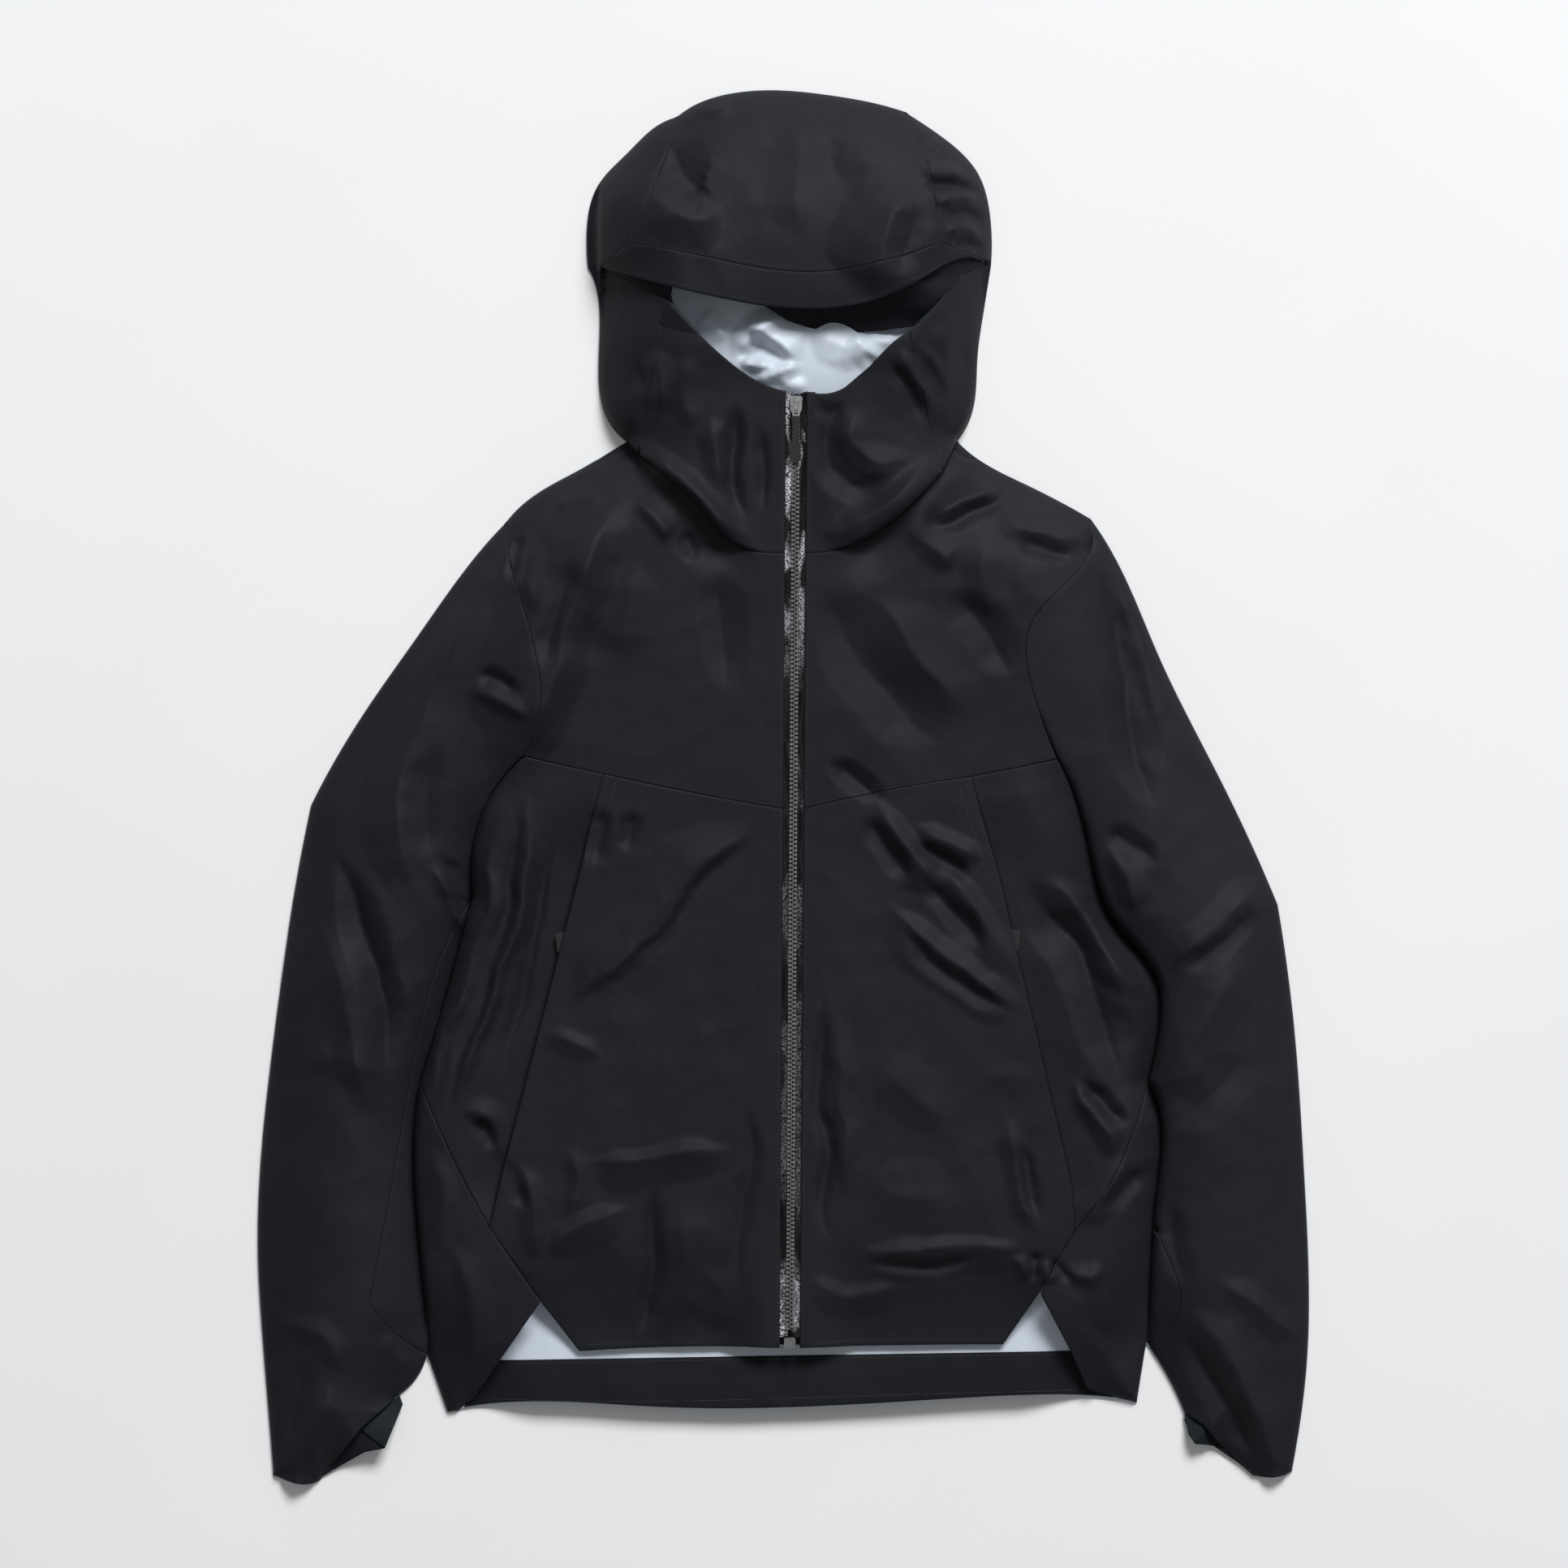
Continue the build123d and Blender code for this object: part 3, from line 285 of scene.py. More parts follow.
# ---- folds --------------------------------------------------------------------------
# Each fold: height, width of its left side, width of its right side, and the crest's
# points in the direction that left and right are counted from.
FOLDS = [
    # lower front right
    (4.2, 34, 11, [(-160, -160), (-134, -140), (-92, -104), (-74, -77), (-56, -56), (-32, -38),
                   (-17, -20)]),
    (-2.6, 9, 12, [(-26, -42), (-62, -70), (-88, -104), (-124, -140)]),
    (3.0, 26, 9, [(-149, -272), (-122, -275), (-92, -270), (-62, -264), (-32, -267)][::-1]),
    (2.6, 22, 9, [(-176, -346), (-158, -326), (-134, -314), (-108, -308)][::-1]),
    (-3.2, 12, 10, [(-96, -292), (-95, -335), (-99, -371), (-105, -409)]),
    (2.0, 24, 20, [(-74, -300), (-72, -350), (-82, -405)]),
    (2.0, 14, 9, [(-178, -181), (-158, -184), (-132, -198)][::-1]),
    (-2.4, 10, 14, [(-131, -14), (-134, -40), (-138, -60)]),
    (-2.2, 10, 9, [(-112, -16), (-112, -50)]),
    (-1.8, 9, 9, [(-27, -225), (-24, -262), (-32, -330), (-36, -372)]),
    (1.8, 16, 10, [(-160, -262), (-152, -288), (-158, -318)]),
    (1.6, 16, 30, [(-60, -352), (-44, -376), (-52, -404)]),
    # side panel right
    (3.8, 9, 13, [(-186, 6), (-188, -28), (-190, -60), (-198, -105), (-210, -140), (-226, -190),
                  (-241, -240)]),
    (-3.0, 8, 8, [(-196, 0), (-199, -50), (-208, -110), (-222, -160), (-238, -210), (-248, -244)]),
    (3.2, 9, 12, [(-206, -8), (-215, -50), (-219, -95), (-234, -142), (-252, -190), (-261, -232)]),
    (-2.6, 7, 9, [(-170, -20), (-176, -70), (-184, -120), (-196, -168), (-208, -215)]),
    (3.0, 10, 14, [(-237, -236), (-222, -238), (-208, -252), (-202, -280)][::-1]),
    (-3.0, 7, 9, [(-231, -246), (-218, -250), (-208, -268)]),
    (2.2, 10, 16, [(-196, -272), (-186, -300), (-182, -330), (-178, -352)]),
    (-2.6, 9, 10, [(-205, -266), (-198, -296), (-192, -316)]),
    (1.8, 12, 18, [(-262, -262), (-250, -300), (-256, -345)]),
    (1.6, 18, 12, [(-246, -330), (-226, -388), (-232, -436)]),
    # yoke right and shoulder
    (8.0, 58, 25, [(-116, 224), (-132, 194), (-150, 146), (-168, 86), (-186, 32), (-198, 2)][::-1]),
    (-3.6, 20, 14, [(-152, 176), (-166, 128), (-178, 84)]),
    (-3.0, 26, 16, [(-50, 164), (-46, 118), (-45, 72)]),
    (2.4, 22, 28, [(-108, 170), (-112, 130), (-118, 92)]),
    (-4.0, 12, 9, [(-190, 188), (-196, 168), (-199, 146)]),
    (3.0, 18, 12, [(-184, 190), (-190, 160), (-184, 130)]),
    (-3.2, 9, 12, [(-226, 86), (-206, 80), (-190, 68)]),
    (2.6, 12, 9, [(-228, 76), (-206, 64), (-186, 50)]),
    (3.0, 10, 16, [(-110, 214), (-92, 200), (-82, 180)][::-1]),
    (-2.4, 10, 10, [(-72, 190), (-66, 178), (-62, 168)]),
    (2.0, 14, 14, [(-128, 214), (-150, 216), (-172, 206)]),
    # sleeve right
    (5.0, 36, 30, [(-190, 190), (-226, 128), (-262, 64), (-281, 4), (-280, -52), (-262, -104)]),
    (-5.6, 17, 20, [(-330, -46), (-314, -84), (-300, -130), (-291, -178), (-287, -218)]),
    (3.6, 26, 20, [(-342, -92), (-330, -130), (-314, -190), (-306, -250)]),
    (-3.0, 14, 18, [(-252, 36), (-262, -10), (-258, -58)]),
    (3.0, 16, 10, [(-262, -58), (-240, -84), (-231, -112)]),
    (-3.0, 9, 9, [(-248, -52), (-238, -76), (-230, -94)]),
    (1.5, 18, 22, [(-352, -206), (-330, -196), (-296, -212)]),
    (2.4, 16, 20, [(-334, -438), (-342, -474), (-350, -508)]),
    (-1.8, 12, 14, [(-352, -420), (-358, -452), (-364, -490)]),
    (1.8, 14, 14, [(-372, -392), (-340, -404), (-318, -436)]),
    (1.6, 12, 16, [(-300, -402), (-284, -420), (-276, -436)]),
    # lower front left
    (-3.4, 12, 10, [(34, 22), (50, 8), (66, -4), (80, -10)]),
    (4.0, 13, 22, [(66, -10), (84, -32), (104, -58), (120, -82)]),
    (-4.2, 12, 13, [(60, -20), (78, -46), (96, -70)]),
    (3.4, 11, 18, [(98, -24), (126, -40), (150, -56)]),
    (-3.2, 9, 10, [(96, -34), (122, -54), (140, -70)]),
    (3.8, 12, 22, [(112, -54), (136, -80), (156, -110), (176, -142)]),
    (-3.4, 10, 11, [(106, -66), (128, -92), (150, -124)]),
    (4.2, 12, 28, [(78, -84), (104, -110), (130, -128), (160, -151), (184, -166)]),
    (-3.4, 10, 12, [(86, -102), (110, -124), (140, -146), (172, -166)]),
    (-2.8, 9, 9, [(25, -145), (31, -185), (25, -227), (34, -269), (27, -311), (42, -336)]),
    (2.0, 14, 12, [(42, -168), (44, -220), (48, -268), (44, -304)]),
    (3.0, 9, 24, [(54, -338), (82, -342), (118, -336), (154, -340), (184, -336)]),
    (-2.4, 8, 8, [(60, -350), (100, -352), (150, -349)]),
    (2.0, 9, 18, [(20, -364), (48, -374), (90, -368)]),
    (2.6, 10, 14, [(166, -240), (173, -275), (181, -305), (188, -332)]),
    (-2.6, 8, 9, [(176, -262), (184, -292), (190, -318)]),
    (2.2, 8, 9, [(188, -346), (194, -356), (202, -366)]),
    (-2.4, 7, 7, [(184, -340), (188, -352), (190, -366)]),
    (-2.0, 6, 6, [(196, -346), (202, -354), (212, -362)]),
    (1.8, 9, 9, [(170, -346), (180, -354), (186, -364)]),
    (1.6, 30, 22, [(70, -200), (98, -230), (128, -244)]),
    (1.6, 26, 30, [(60, -286), (92, -300), (130, -296)]),
    # side panel left
    (-7.0, 22, 24, [(180, -62), (206, -104), (226, -140), (240, -180), (256, -222)]),
    (4.4, 14, 18, [(196, -60), (222, -98), (248, -132), (268, -158)]),
    (-4.0, 12, 12, [(222, -212), (240, -238), (258, -250)]),
    (3.4, 12, 12, [(214, -214), (228, -238), (244, -262), (250, -278)]),
    (-3.0, 9, 10, [(238, -312), (256, -294), (272, -280)]),
    (2.6, 12, 16, [(214, -322), (236, -300), (262, -272)]),
    (1.8, 14, 14, [(216, -350), (236, -372), (246, -410)]),
    (2.4, 12, 9, [(206, -352), (222, -358), (238, -352)]),
    # yoke left and shoulder
    (-3.8, 36, 28, [(26, 150), (44, 118), (66, 84), (96, 50), (120, 26)]),
    (2.6, 34, 30, [(68, 142), (92, 108), (118, 74), (140, 48)]),
    (-3.4, 22, 20, [(122, 146), (152, 112), (172, 84)]),
    (4.2, 12, 22, [(104, 200), (134, 212), (168, 224)][::-1]),
    (-3.6, 9, 10, [(110, 192), (138, 204), (166, 214)]),
    (3.2, 16, 12, [(156, 214), (178, 196), (204, 190), (228, 182)][::-1]),
    (-3.4, 12, 12, [(168, 188), (192, 180), (216, 172)]),
    (-2.6, 8, 8, [(230, 194), (228, 182), (224, 172)]),
    (2.2, 18, 16, [(150, 190), (150, 150), (158, 116)]),
    (2.4, 12, 14, [(92, 190), (112, 178), (128, 164)]),
    # sleeve left
    (-5.4, 20, 22, [(228, 172), (244, 122), (256, 72), (264, 20), (276, -24)]),
    (4.0, 26, 28, [(254, 176), (280, 110), (304, 44), (322, -14)]),
    (-3.0, 12, 14, [(238, -28), (262, -42), (282, -54)]),
    (2.8, 14, 14, [(240, -46), (258, -66), (262, -92)]),
    (3.6, 20, 18, [(362, -66), (340, -84), (318, -108), (284, -134)]),
    (-3.4, 14, 16, [(350, -88), (324, -116), (296, -138)]),
    (2.6, 22, 24, [(272, -236), (300, -190), (326, -150), (352, -120)]),
    (-2.0, 22, 22, [(290, -254), (322, -222), (350, -196)]),
    (-2.6, 14, 16, [(296, -398), (314, -430), (334, -466), (352, -504)]),
    (3.0, 18, 18, [(300, -380), (330, -420), (352, -462), (366, -500)]),
    (2.0, 14, 16, [(322, -360), (354, -384), (384, -404)]),
    (-1.8, 12, 12, [(286, -300), (290, -338), (300, -372)]),
    # collar
    (5.0, 26, 10, [(-100, 262), (-84, 238), (-62, 216), (-44, 198), (-18, 188)][::-1]),
    (4.4, 11, 26, [(112, 250), (92, 222), (68, 204), (40, 192), (24, 190)][::-1]),
    (-3.4, 10, 12, [(-38, 286), (-34, 262), (-39, 230), (-24, 198)]),
    (2.8, 12, 12, [(-52, 276), (-50, 248), (-46, 220)]),
    (-2.2, 8, 9, [(-16, 270), (-14, 236), (-12, 204)]),
    (-3.2, 14, 16, [(44, 284), (36, 262), (36, 236), (58, 222), (82, 234)]),
    (3.0, 14, 14, [(56, 280), (54, 254), (70, 242), (96, 248)]),
    (2.6, 10, 10, [(84, 326), (98, 304), (112, 278)]),
    (-2.6, 8, 9, [(78, 318), (92, 296), (106, 268)]),
    (2.2, 9, 10, [(102, 330), (116, 308), (124, 286)]),
    (-2.0, 9, 9, [(26, 286), (34, 274), (46, 282)]),
    (2.4, 14, 18, [(-96, 330), (-88, 300), (-94, 270)]),
    (-2.2, 12, 12, [(-108, 322), (-100, 290), (-104, 262)]),
    (2.0, 14, 12, [(-66, 322), (-72, 290), (-62, 262)]),
    (2.2, 12, 14, [(130, 352), (122, 322), (128, 292)]),
    # hood
    (-5.0, 26, 28, [(-88, 478), (-76, 458), (-62, 438), (-52, 440)]),
    (4.0, 24, 22, [(-100, 440), (-84, 430), (-62, 418), (-40, 424)]),
    (6.5, 46, 40, [(96, 448), (80, 416), (62, 360)]),
    (-4.0, 18, 20, [(100, 436), (96, 410), (84, 378)]),
    (3.4, 10, 12, [(100, 452), (122, 458), (144, 452)]),
    (-3.4, 8, 8, [(106, 442), (126, 446), (146, 440)]),
    (3.2, 9, 9, [(112, 430), (132, 436), (150, 432)]),
    (-3.2, 7, 8, [(116, 420), (134, 424), (150, 418)]),
    (3.0, 8, 9, [(118, 408), (134, 412), (150, 406)]),
    (-2.6, 7, 7, [(122, 398), (138, 402), (152, 398)]),
    (2.6, 9, 8, [(92, 500), (104, 486), (120, 474)]),
    (-2.2, 8, 8, [(98, 490), (110, 474), (124, 462)]),
    (2.4, 9, 9, [(-66, 504), (-52, 500), (-36, 508)]),
    (1.8, 26, 26, [(10, 500), (16, 470), (8, 440), (20, 404)]),
    (-1.8, 24, 24, [(40, 492), (38, 460), (52, 430)]),
]
NEAR_ZIP_CALM = 16.0     # the zip keeps the cloth beside it smooth over this distance
FOLD_GAIN = 1.9
FOLD_SPREAD = 0.95


def smooth_line(points, step=4.0):
    """A Catmull-Rom curve through the points, sampled about every step."""
    line = [np.array(p, float) for p in points]
    line = [2 * line[0] - line[1]] + line + [2 * line[-1] - line[-2]]
    out = []
    for p0, p1, p2, p3 in zip(line, line[1:], line[2:], line[3:]):
        count = max(2, int(np.linalg.norm(p2 - p1) / step))
        for k in range(count):
            t = k / count
            out.append(0.5 * (2 * p1 + (p2 - p0) * t + (2 * p0 - 5 * p1 + 4 * p2 - p3) * t * t
                              + (3 * p1 - p0 - 3 * p2 + p3) * t ** 3))
    out.append(line[-2])
    return np.array(out)


def fold_height(points, fold):
    """What one fold adds: sharp at its crest, running out smoothly at both sides and ends."""
    height, left, right, crest = fold
    left, right = left * FOLD_SPREAD, right * FOLD_SPREAD
    line = smooth_line(crest)
    reach = max(left, right)
    low = line.min(axis=0) - reach
    high = line.max(axis=0) + reach
    near = np.all((points > low) & (points < high), axis=1)
    result = np.zeros(len(points))
    if not near.any():
        return result
    some = points[near]
    best = np.full(len(some), 1e9)
    side = np.zeros(len(some))
    along = np.zeros(len(some))
    steps = len(line) - 1
    for i in range(steps):
        run = line[i + 1] - line[i]
        away = some - line[i]
        part = np.clip((away @ run) / max(run @ run, 1e-9), 0, 1)
        gap = away - part[:, None] * run
        dist = np.hypot(gap[:, 0], gap[:, 1])
        closer = dist < best
        best = np.where(closer, dist, best)
        side = np.where(closer, run[0] * away[:, 1] - run[1] * away[:, 0], side)
        along = np.where(closer, (i + part) / steps, along)
    width = np.where(side >= 0, left, right)
    ends = smooth(along / 0.3) * smooth((1 - along) / 0.3)
    taper = 0.45 + 0.55 * ends
    flank = 1 - np.clip(best / (width * taper), 0, 1)
    profile = flank * (0.85 + 0.15 * flank)
    result[near] = height * ends * profile
    return result


def warped(points):
    """Shifts the places where folds are looked up, so that no crease runs ruler-straight."""
    shift = np.array([noise.noise_vector(Vector((x / 38, y / 38, 0.5))) for x, y in points])
    small = np.array([noise.noise_vector(Vector((x / 13, y / 13, 8.5))) for x, y in points])
    return points + 5.0 * shift[:, :2] + 1.2 * small[:, :2]


def crumple(points):
    """Irregular creasing of a stiff laminate: sharp crests between flat facets, stronger in places."""
    out = np.zeros(len(points))
    for i, (x, y) in enumerate(points):
        u = 0.88 * x + 0.47 * y
        v = 0.88 * y - 0.47 * x
        patch = 0.35 + 1.3 * abs(noise.noise(Vector((x / 80, y / 80, 5.0))))
        broad = noise.noise(Vector((x / 110, y / 140, 3.1)))
        crest = 0.3 - abs(noise.noise(Vector((u / 60, v / 105, 7.7))))
        second = 0.3 - abs(noise.noise(Vector((v / 34 + 4, u / 60, 1.9))))
        small = 0.3 - abs(noise.noise(Vector((x / 14, y / 18 + 5, 1.3))))
        out[i] = 1.5 * broad + patch * (3.4 * crest + 1.7 * second + 0.4 * small)
    return out


BRIM_LINE = np.array([(-134.5, 470), (-134.5, 388), (-133, 386), (-94, 373), (-46, 361), (7, 353), (56, 356),
                      (99, 373), (131, 391), (151, 391)], float)
BRIM_SEGMENTS = np.hstack([BRIM_LINE[:-1], BRIM_LINE[1:]])


def under_brim(points):
    """How far a point sinks because the brim and crown lie over it."""
    x, y = points[:, 0], points[:, 1]
    edge_y = np.interp(x, BRIM_LINE[2:, 0], BRIM_LINE[2:, 1])
    below = smooth((edge_y + 1.0 - y) / 2.0) * (x > -134)
    strip = smooth((-134.5 - x) / 2.5) * smooth((466 - y) / 22)
    beside = np.where(x <= -134, strip, 0.0)
    near = 1 - smooth(distance_to(points, BRIM_SEGMENTS) / 46)
    ends = smooth((y - 300) / 40)
    return 8.5 * np.maximum(below, beside) * near * ends


def lay(points, node):
    """Height of the front layer's outer face."""
    x, y = points[:, 0], points[:, 1]
    fold = distance_to(points, OUTER_AND_ON)
    valley = distance_to(points, VALLEY)
    ramp = smooth((60 - y) / 170)
    if node in OVER:
        sunk = 1 - 0.42 * ramp * (1 - dome(valley / 40))
    elif node in UNDER:
        sunk = 1 - 0.90 * ramp * (1 - dome(valley / VALLEY_RADIUS))
    else:
        sunk = 1 - 0.78 * ramp * (1 - dome(valley / VALLEY_RADIUS))
    radius = blend(FOLD_RADIUS, HOOD_FOLD_RADIUS, (y - 380) / 90)
    height = FOLD_TOP + (full_height(x, y) - FOLD_TOP) * dome(fold / radius) * sunk
    neck = distance_to(points, NECK)
    away_from_zip = smooth((np.abs(x - zip_x(y)) - 22) / 45)
    if node in COLLAR:
        overhang = np.clip(neck / 7.0, 0, 1)
        rolled = 1 - np.sqrt(1 - (1 - overhang) ** 2)
        height += away_from_zip * (7.0 * (1 - smooth(neck / 55)) - 9.0 * rolled)
    elif node in YOKE:
        height -= away_from_zip * 11.0 * (1 - smooth(neck / 36))
    relief = crumple(points)
    bent = warped(points)
    for one in FOLDS:
        relief += FOLD_GAIN * fold_height(bent, one)
    if node in COLLAR:
        height -= under_brim(points)
    front_hem = 1 - smooth((y + 413) / 90)
    if node.startswith("front_lower") or node == "facing":
        height -= HEM_SINK * front_hem * smooth((np.abs(x - zip_x(y)) - 14) / 40) * (y < -300)
    calm = smooth((np.abs(x - zip_x(y)) - 7.0) / NEAR_ZIP_CALM)
    calm = np.where(y > ZIP_TOP.y + 12, 1.0, calm)
    mouth = distance_to(points, POCKET_MOUTHS)
    calm = calm * (0.25 + 0.75 * smooth(mouth / 26))
    height = height + relief * calm * smooth(fold / 16)
    if node in OVER:
        lap = np.clip(valley / LAP_RADIUS, 0, 1)
        height -= LAP_DROP * smooth((70 - y) / 90) * (1 - np.sqrt(1 - (1 - lap) ** 2))
    if node.startswith("side_panel"):
        height = height - blend(POCKET_DROP, 0.0, mouth / POCKET_FADE)
    edge = np.clip(fold / EDGE_ROUND, 0, 1)
    turned = np.sqrt(1 - (1 - edge) ** 2)
    height = np.minimum(height, TOP_LIMIT)
    on_floor = np.where(distance_to(points, OUTER) < EDGE_ROUND, turned, 1.0)
    return BACK_TOP + (np.maximum(height, BACK_TOP + 1.2) - BACK_TOP) * on_floor


# ---- meshes -------------------------------------------------------------------------
def resample(loop, step):
    """Boundary points no further apart than step, corners kept."""
    out = []
    for x1, y1, x2, y2 in segments(loop):
        long = math.hypot(x2 - x1, y2 - y1)
        if long < 0.05:
            continue
        count = max(1, math.ceil(long / step))
        out += [(x1 + (x2 - x1) * k / count, y1 + (y2 - y1) * k / count) for k in range(count)]
    kept = [out[0]]
    for p in out[1:]:
        if math.dist(p, kept[-1]) > 0.6:
            kept.append(p)
    return np.array(kept)


EDGE_RINGS = ((1.1, 0.9), (2.6, 2.1))   # distance from the edge, and the least that is kept
GRID_CLEAR = 3.6                        # the inner grid stays this far from the edge


def triangulate(loop, step):
    """Points and triangles that fill an outline, with a closer ring along its edge."""
    edge = resample(loop, step)
    run = np.roll(edge, -1, axis=0) - np.roll(edge, 1, axis=0)
    normal = np.stack([-run[:, 1], run[:, 0]], axis=1)
    normal /= np.maximum(np.linalg.norm(normal, axis=1), 1e-9)[:, None]
    area = float(np.sum(edge[:, 0] * np.roll(edge[:, 1], -1) - edge[:, 1] * np.roll(edge[:, 0], -1)))
    normal *= 1 if area > 0 else -1
    rings = [edge + normal * gap for gap, _ in EDGE_RINGS]
    low, high = loop.min(axis=0), loop.max(axis=0)
    rows = []
    y = low[1]
    odd = False
    while y < high[1]:
        xs = np.arange(low[0] + (step / 2 if odd else 0), high[0], step)
        rows.append(np.stack([xs, np.full(len(xs), y)], axis=1))
        y += step * math.sqrt(3) / 2
        odd = not odd
    grid = np.vstack(rows)
    segs = segments(edge)
    grid = grid[inside(grid, loop)]
    grid = grid[distance_to(grid, segs) > GRID_CLEAR]
    close = []
    for ring, (_, least) in zip(rings, EDGE_RINGS):
        ring = ring[inside(ring, loop)]
        close.append(ring[distance_to(ring, segs) > least])
    points = np.vstack([edge] + close + [grid])
    count = len(edge)
    lines = [(i, (i + 1) % count) for i in range(count)]
    verts, _, faces, _, _, _ = delaunay_2d_cdt([Vector(p) for p in points], lines, [], 1, 1e-4)
    return np.array([[v.x, v.y] for v in verts]), [tuple(f) for f in faces]


def make_object(name, verts, faces, materials, body="jacket"):
    mesh = bpy.data.meshes.new(name)
    mesh.from_pydata([tuple(v) for v in np.asarray(verts) * MM], [], faces)
    mesh.validate()
    mesh.update()
    for material in materials:
        mesh.materials.append(material)
    mesh.polygons.foreach_set("use_smooth", [True] * len(mesh.polygons))
    obj = bpy.data.objects.new(name, mesh)
    bpy.context.scene.collection.objects.link(obj)
    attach(obj, body)
    return obj


def thicken(obj, thickness, inner=1):
    """Gives a sheet its thickness; the inner face takes the second material."""
    solid = obj.modifiers.new("thickness", "SOLIDIFY")
    solid.thickness = thickness * MM
    solid.offset = -1
    solid.material_offset = inner
    solid.material_offset_rim = 0


def face_up(faces, points):
    """The faces turned so that all look up, without those that have no area in plan."""
    out = []
    for face in faces:
        a, b, c = (points[i] for i in face[:3])
        turn = (b[0] - a[0]) * (c[1] - a[1]) - (b[1] - a[1]) * (c[0] - a[0])
        if abs(turn) < 1e-6:
            continue
        out.append(face if turn > 0 else tuple(reversed(face)))
    return out


# ---- materials ----------------------------------------------------------------------
class Nodes:
    """Shorthand for building a node material."""

    def __init__(self, name):
        self.material = bpy.data.materials.new(name)
        self.material.use_nodes = True
        self.tree = self.material.node_tree
        self.shader = self.tree.nodes["Principled BSDF"]
        self.place = self.add("ShaderNodeTexCoord").outputs["Object"]

    def add(self, kind, **values):
        node = self.tree.nodes.new(kind)
        for key, value in values.items():
            setattr(node, key, value)
        return node

    def link(self, out, socket):
        self.tree.links.new(out, socket)

    def noise(self, scale, detail=2.0, roughness=0.5, stretch=(1, 1, 1)):
        mapping = self.add("ShaderNodeMapping")
        mapping.inputs["Scale"].default_value = stretch
        self.link(self.place, mapping.inputs["Vector"])
        node = self.add("ShaderNodeTexNoise")
        node.inputs["Scale"].default_value = scale
        node.inputs["Detail"].default_value = detail
        node.inputs["Roughness"].default_value = roughness
        self.link(mapping.outputs["Vector"], node.inputs["Vector"])
        return node.outputs["Fac"]

    def wave(self, scale, direction, distortion=0.6):
        node = self.add("ShaderNodeTexWave", wave_type="BANDS", bands_direction=direction)
        node.inputs["Scale"].default_value = scale
        node.inputs["Distortion"].default_value = distortion
        node.inputs["Detail"].default_value = 1.0
        self.link(self.place, node.inputs["Vector"])
        return node.outputs["Fac"]

    def math(self, kind, a, b):
        node = self.add("ShaderNodeMath", operation=kind)
        for socket, value in zip(node.inputs, (a, b)):
            if isinstance(value, (int, float)):
                socket.default_value = value
            else:
                self.link(value, socket)
        return node.outputs[0]

    def ramp(self, fac, low, high, start=0.3, end=0.7):
        node = self.add("ShaderNodeValToRGB")
        node.color_ramp.elements[0].position = start
        node.color_ramp.elements[1].position = end
        node.color_ramp.elements[0].color = (*low, 1)
        node.color_ramp.elements[1].color = (*high, 1)
        self.link(fac, node.inputs["Fac"])
        return node.outputs["Color"]

    def scale_range(self, fac, low, high):
        node = self.add("ShaderNodeMapRange")
        node.inputs["To Min"].default_value = low
        node.inputs["To Max"].default_value = high
        self.link(fac, node.inputs["Value"])
        return node.outputs["Result"]

    def mix(self, fac, a, b):
        node = self.add("ShaderNodeMix", data_type="RGBA")
        self.link(fac, node.inputs["Factor"])
        self.link(a, node.inputs["A"])
        self.link(b, node.inputs["B"])
        return node.outputs["Result"]

    def creases(self, scale):
        """Facets that meet in thin creases, their edges bent a little by noise."""
        mapping = self.add("ShaderNodeMapping")
        mapping.inputs["Scale"].default_value = (1.0, 0.7, 1.0)
        wander = self.add("ShaderNodeMix", data_type="VECTOR")
        wander.inputs["Factor"].default_value = 0.035
        wobble = self.add("ShaderNodeTexNoise")
        wobble.inputs["Scale"].default_value = 22
        self.link(self.place, wobble.inputs["Vector"])
        self.link(self.place, wander.inputs["A"])
        self.link(wobble.outputs["Color"], wander.inputs["B"])
        self.link(wander.outputs["Result"], mapping.inputs["Vector"])
        cells = self.add("ShaderNodeTexVoronoi", feature="F1")
        cells.inputs["Scale"].default_value = scale
        self.link(mapping.outputs["Vector"], cells.inputs["Vector"])
        return cells.outputs["Distance"]

    def bump(self, height, strength, distance, after=None):
        node = self.add("ShaderNodeBump")
        node.inputs["Strength"].default_value = strength
        node.inputs["Distance"].default_value = distance
        self.link(height, node.inputs["Height"])
        if after is not None:
            self.link(after, node.inputs["Normal"])
        return node.outputs["Normal"]


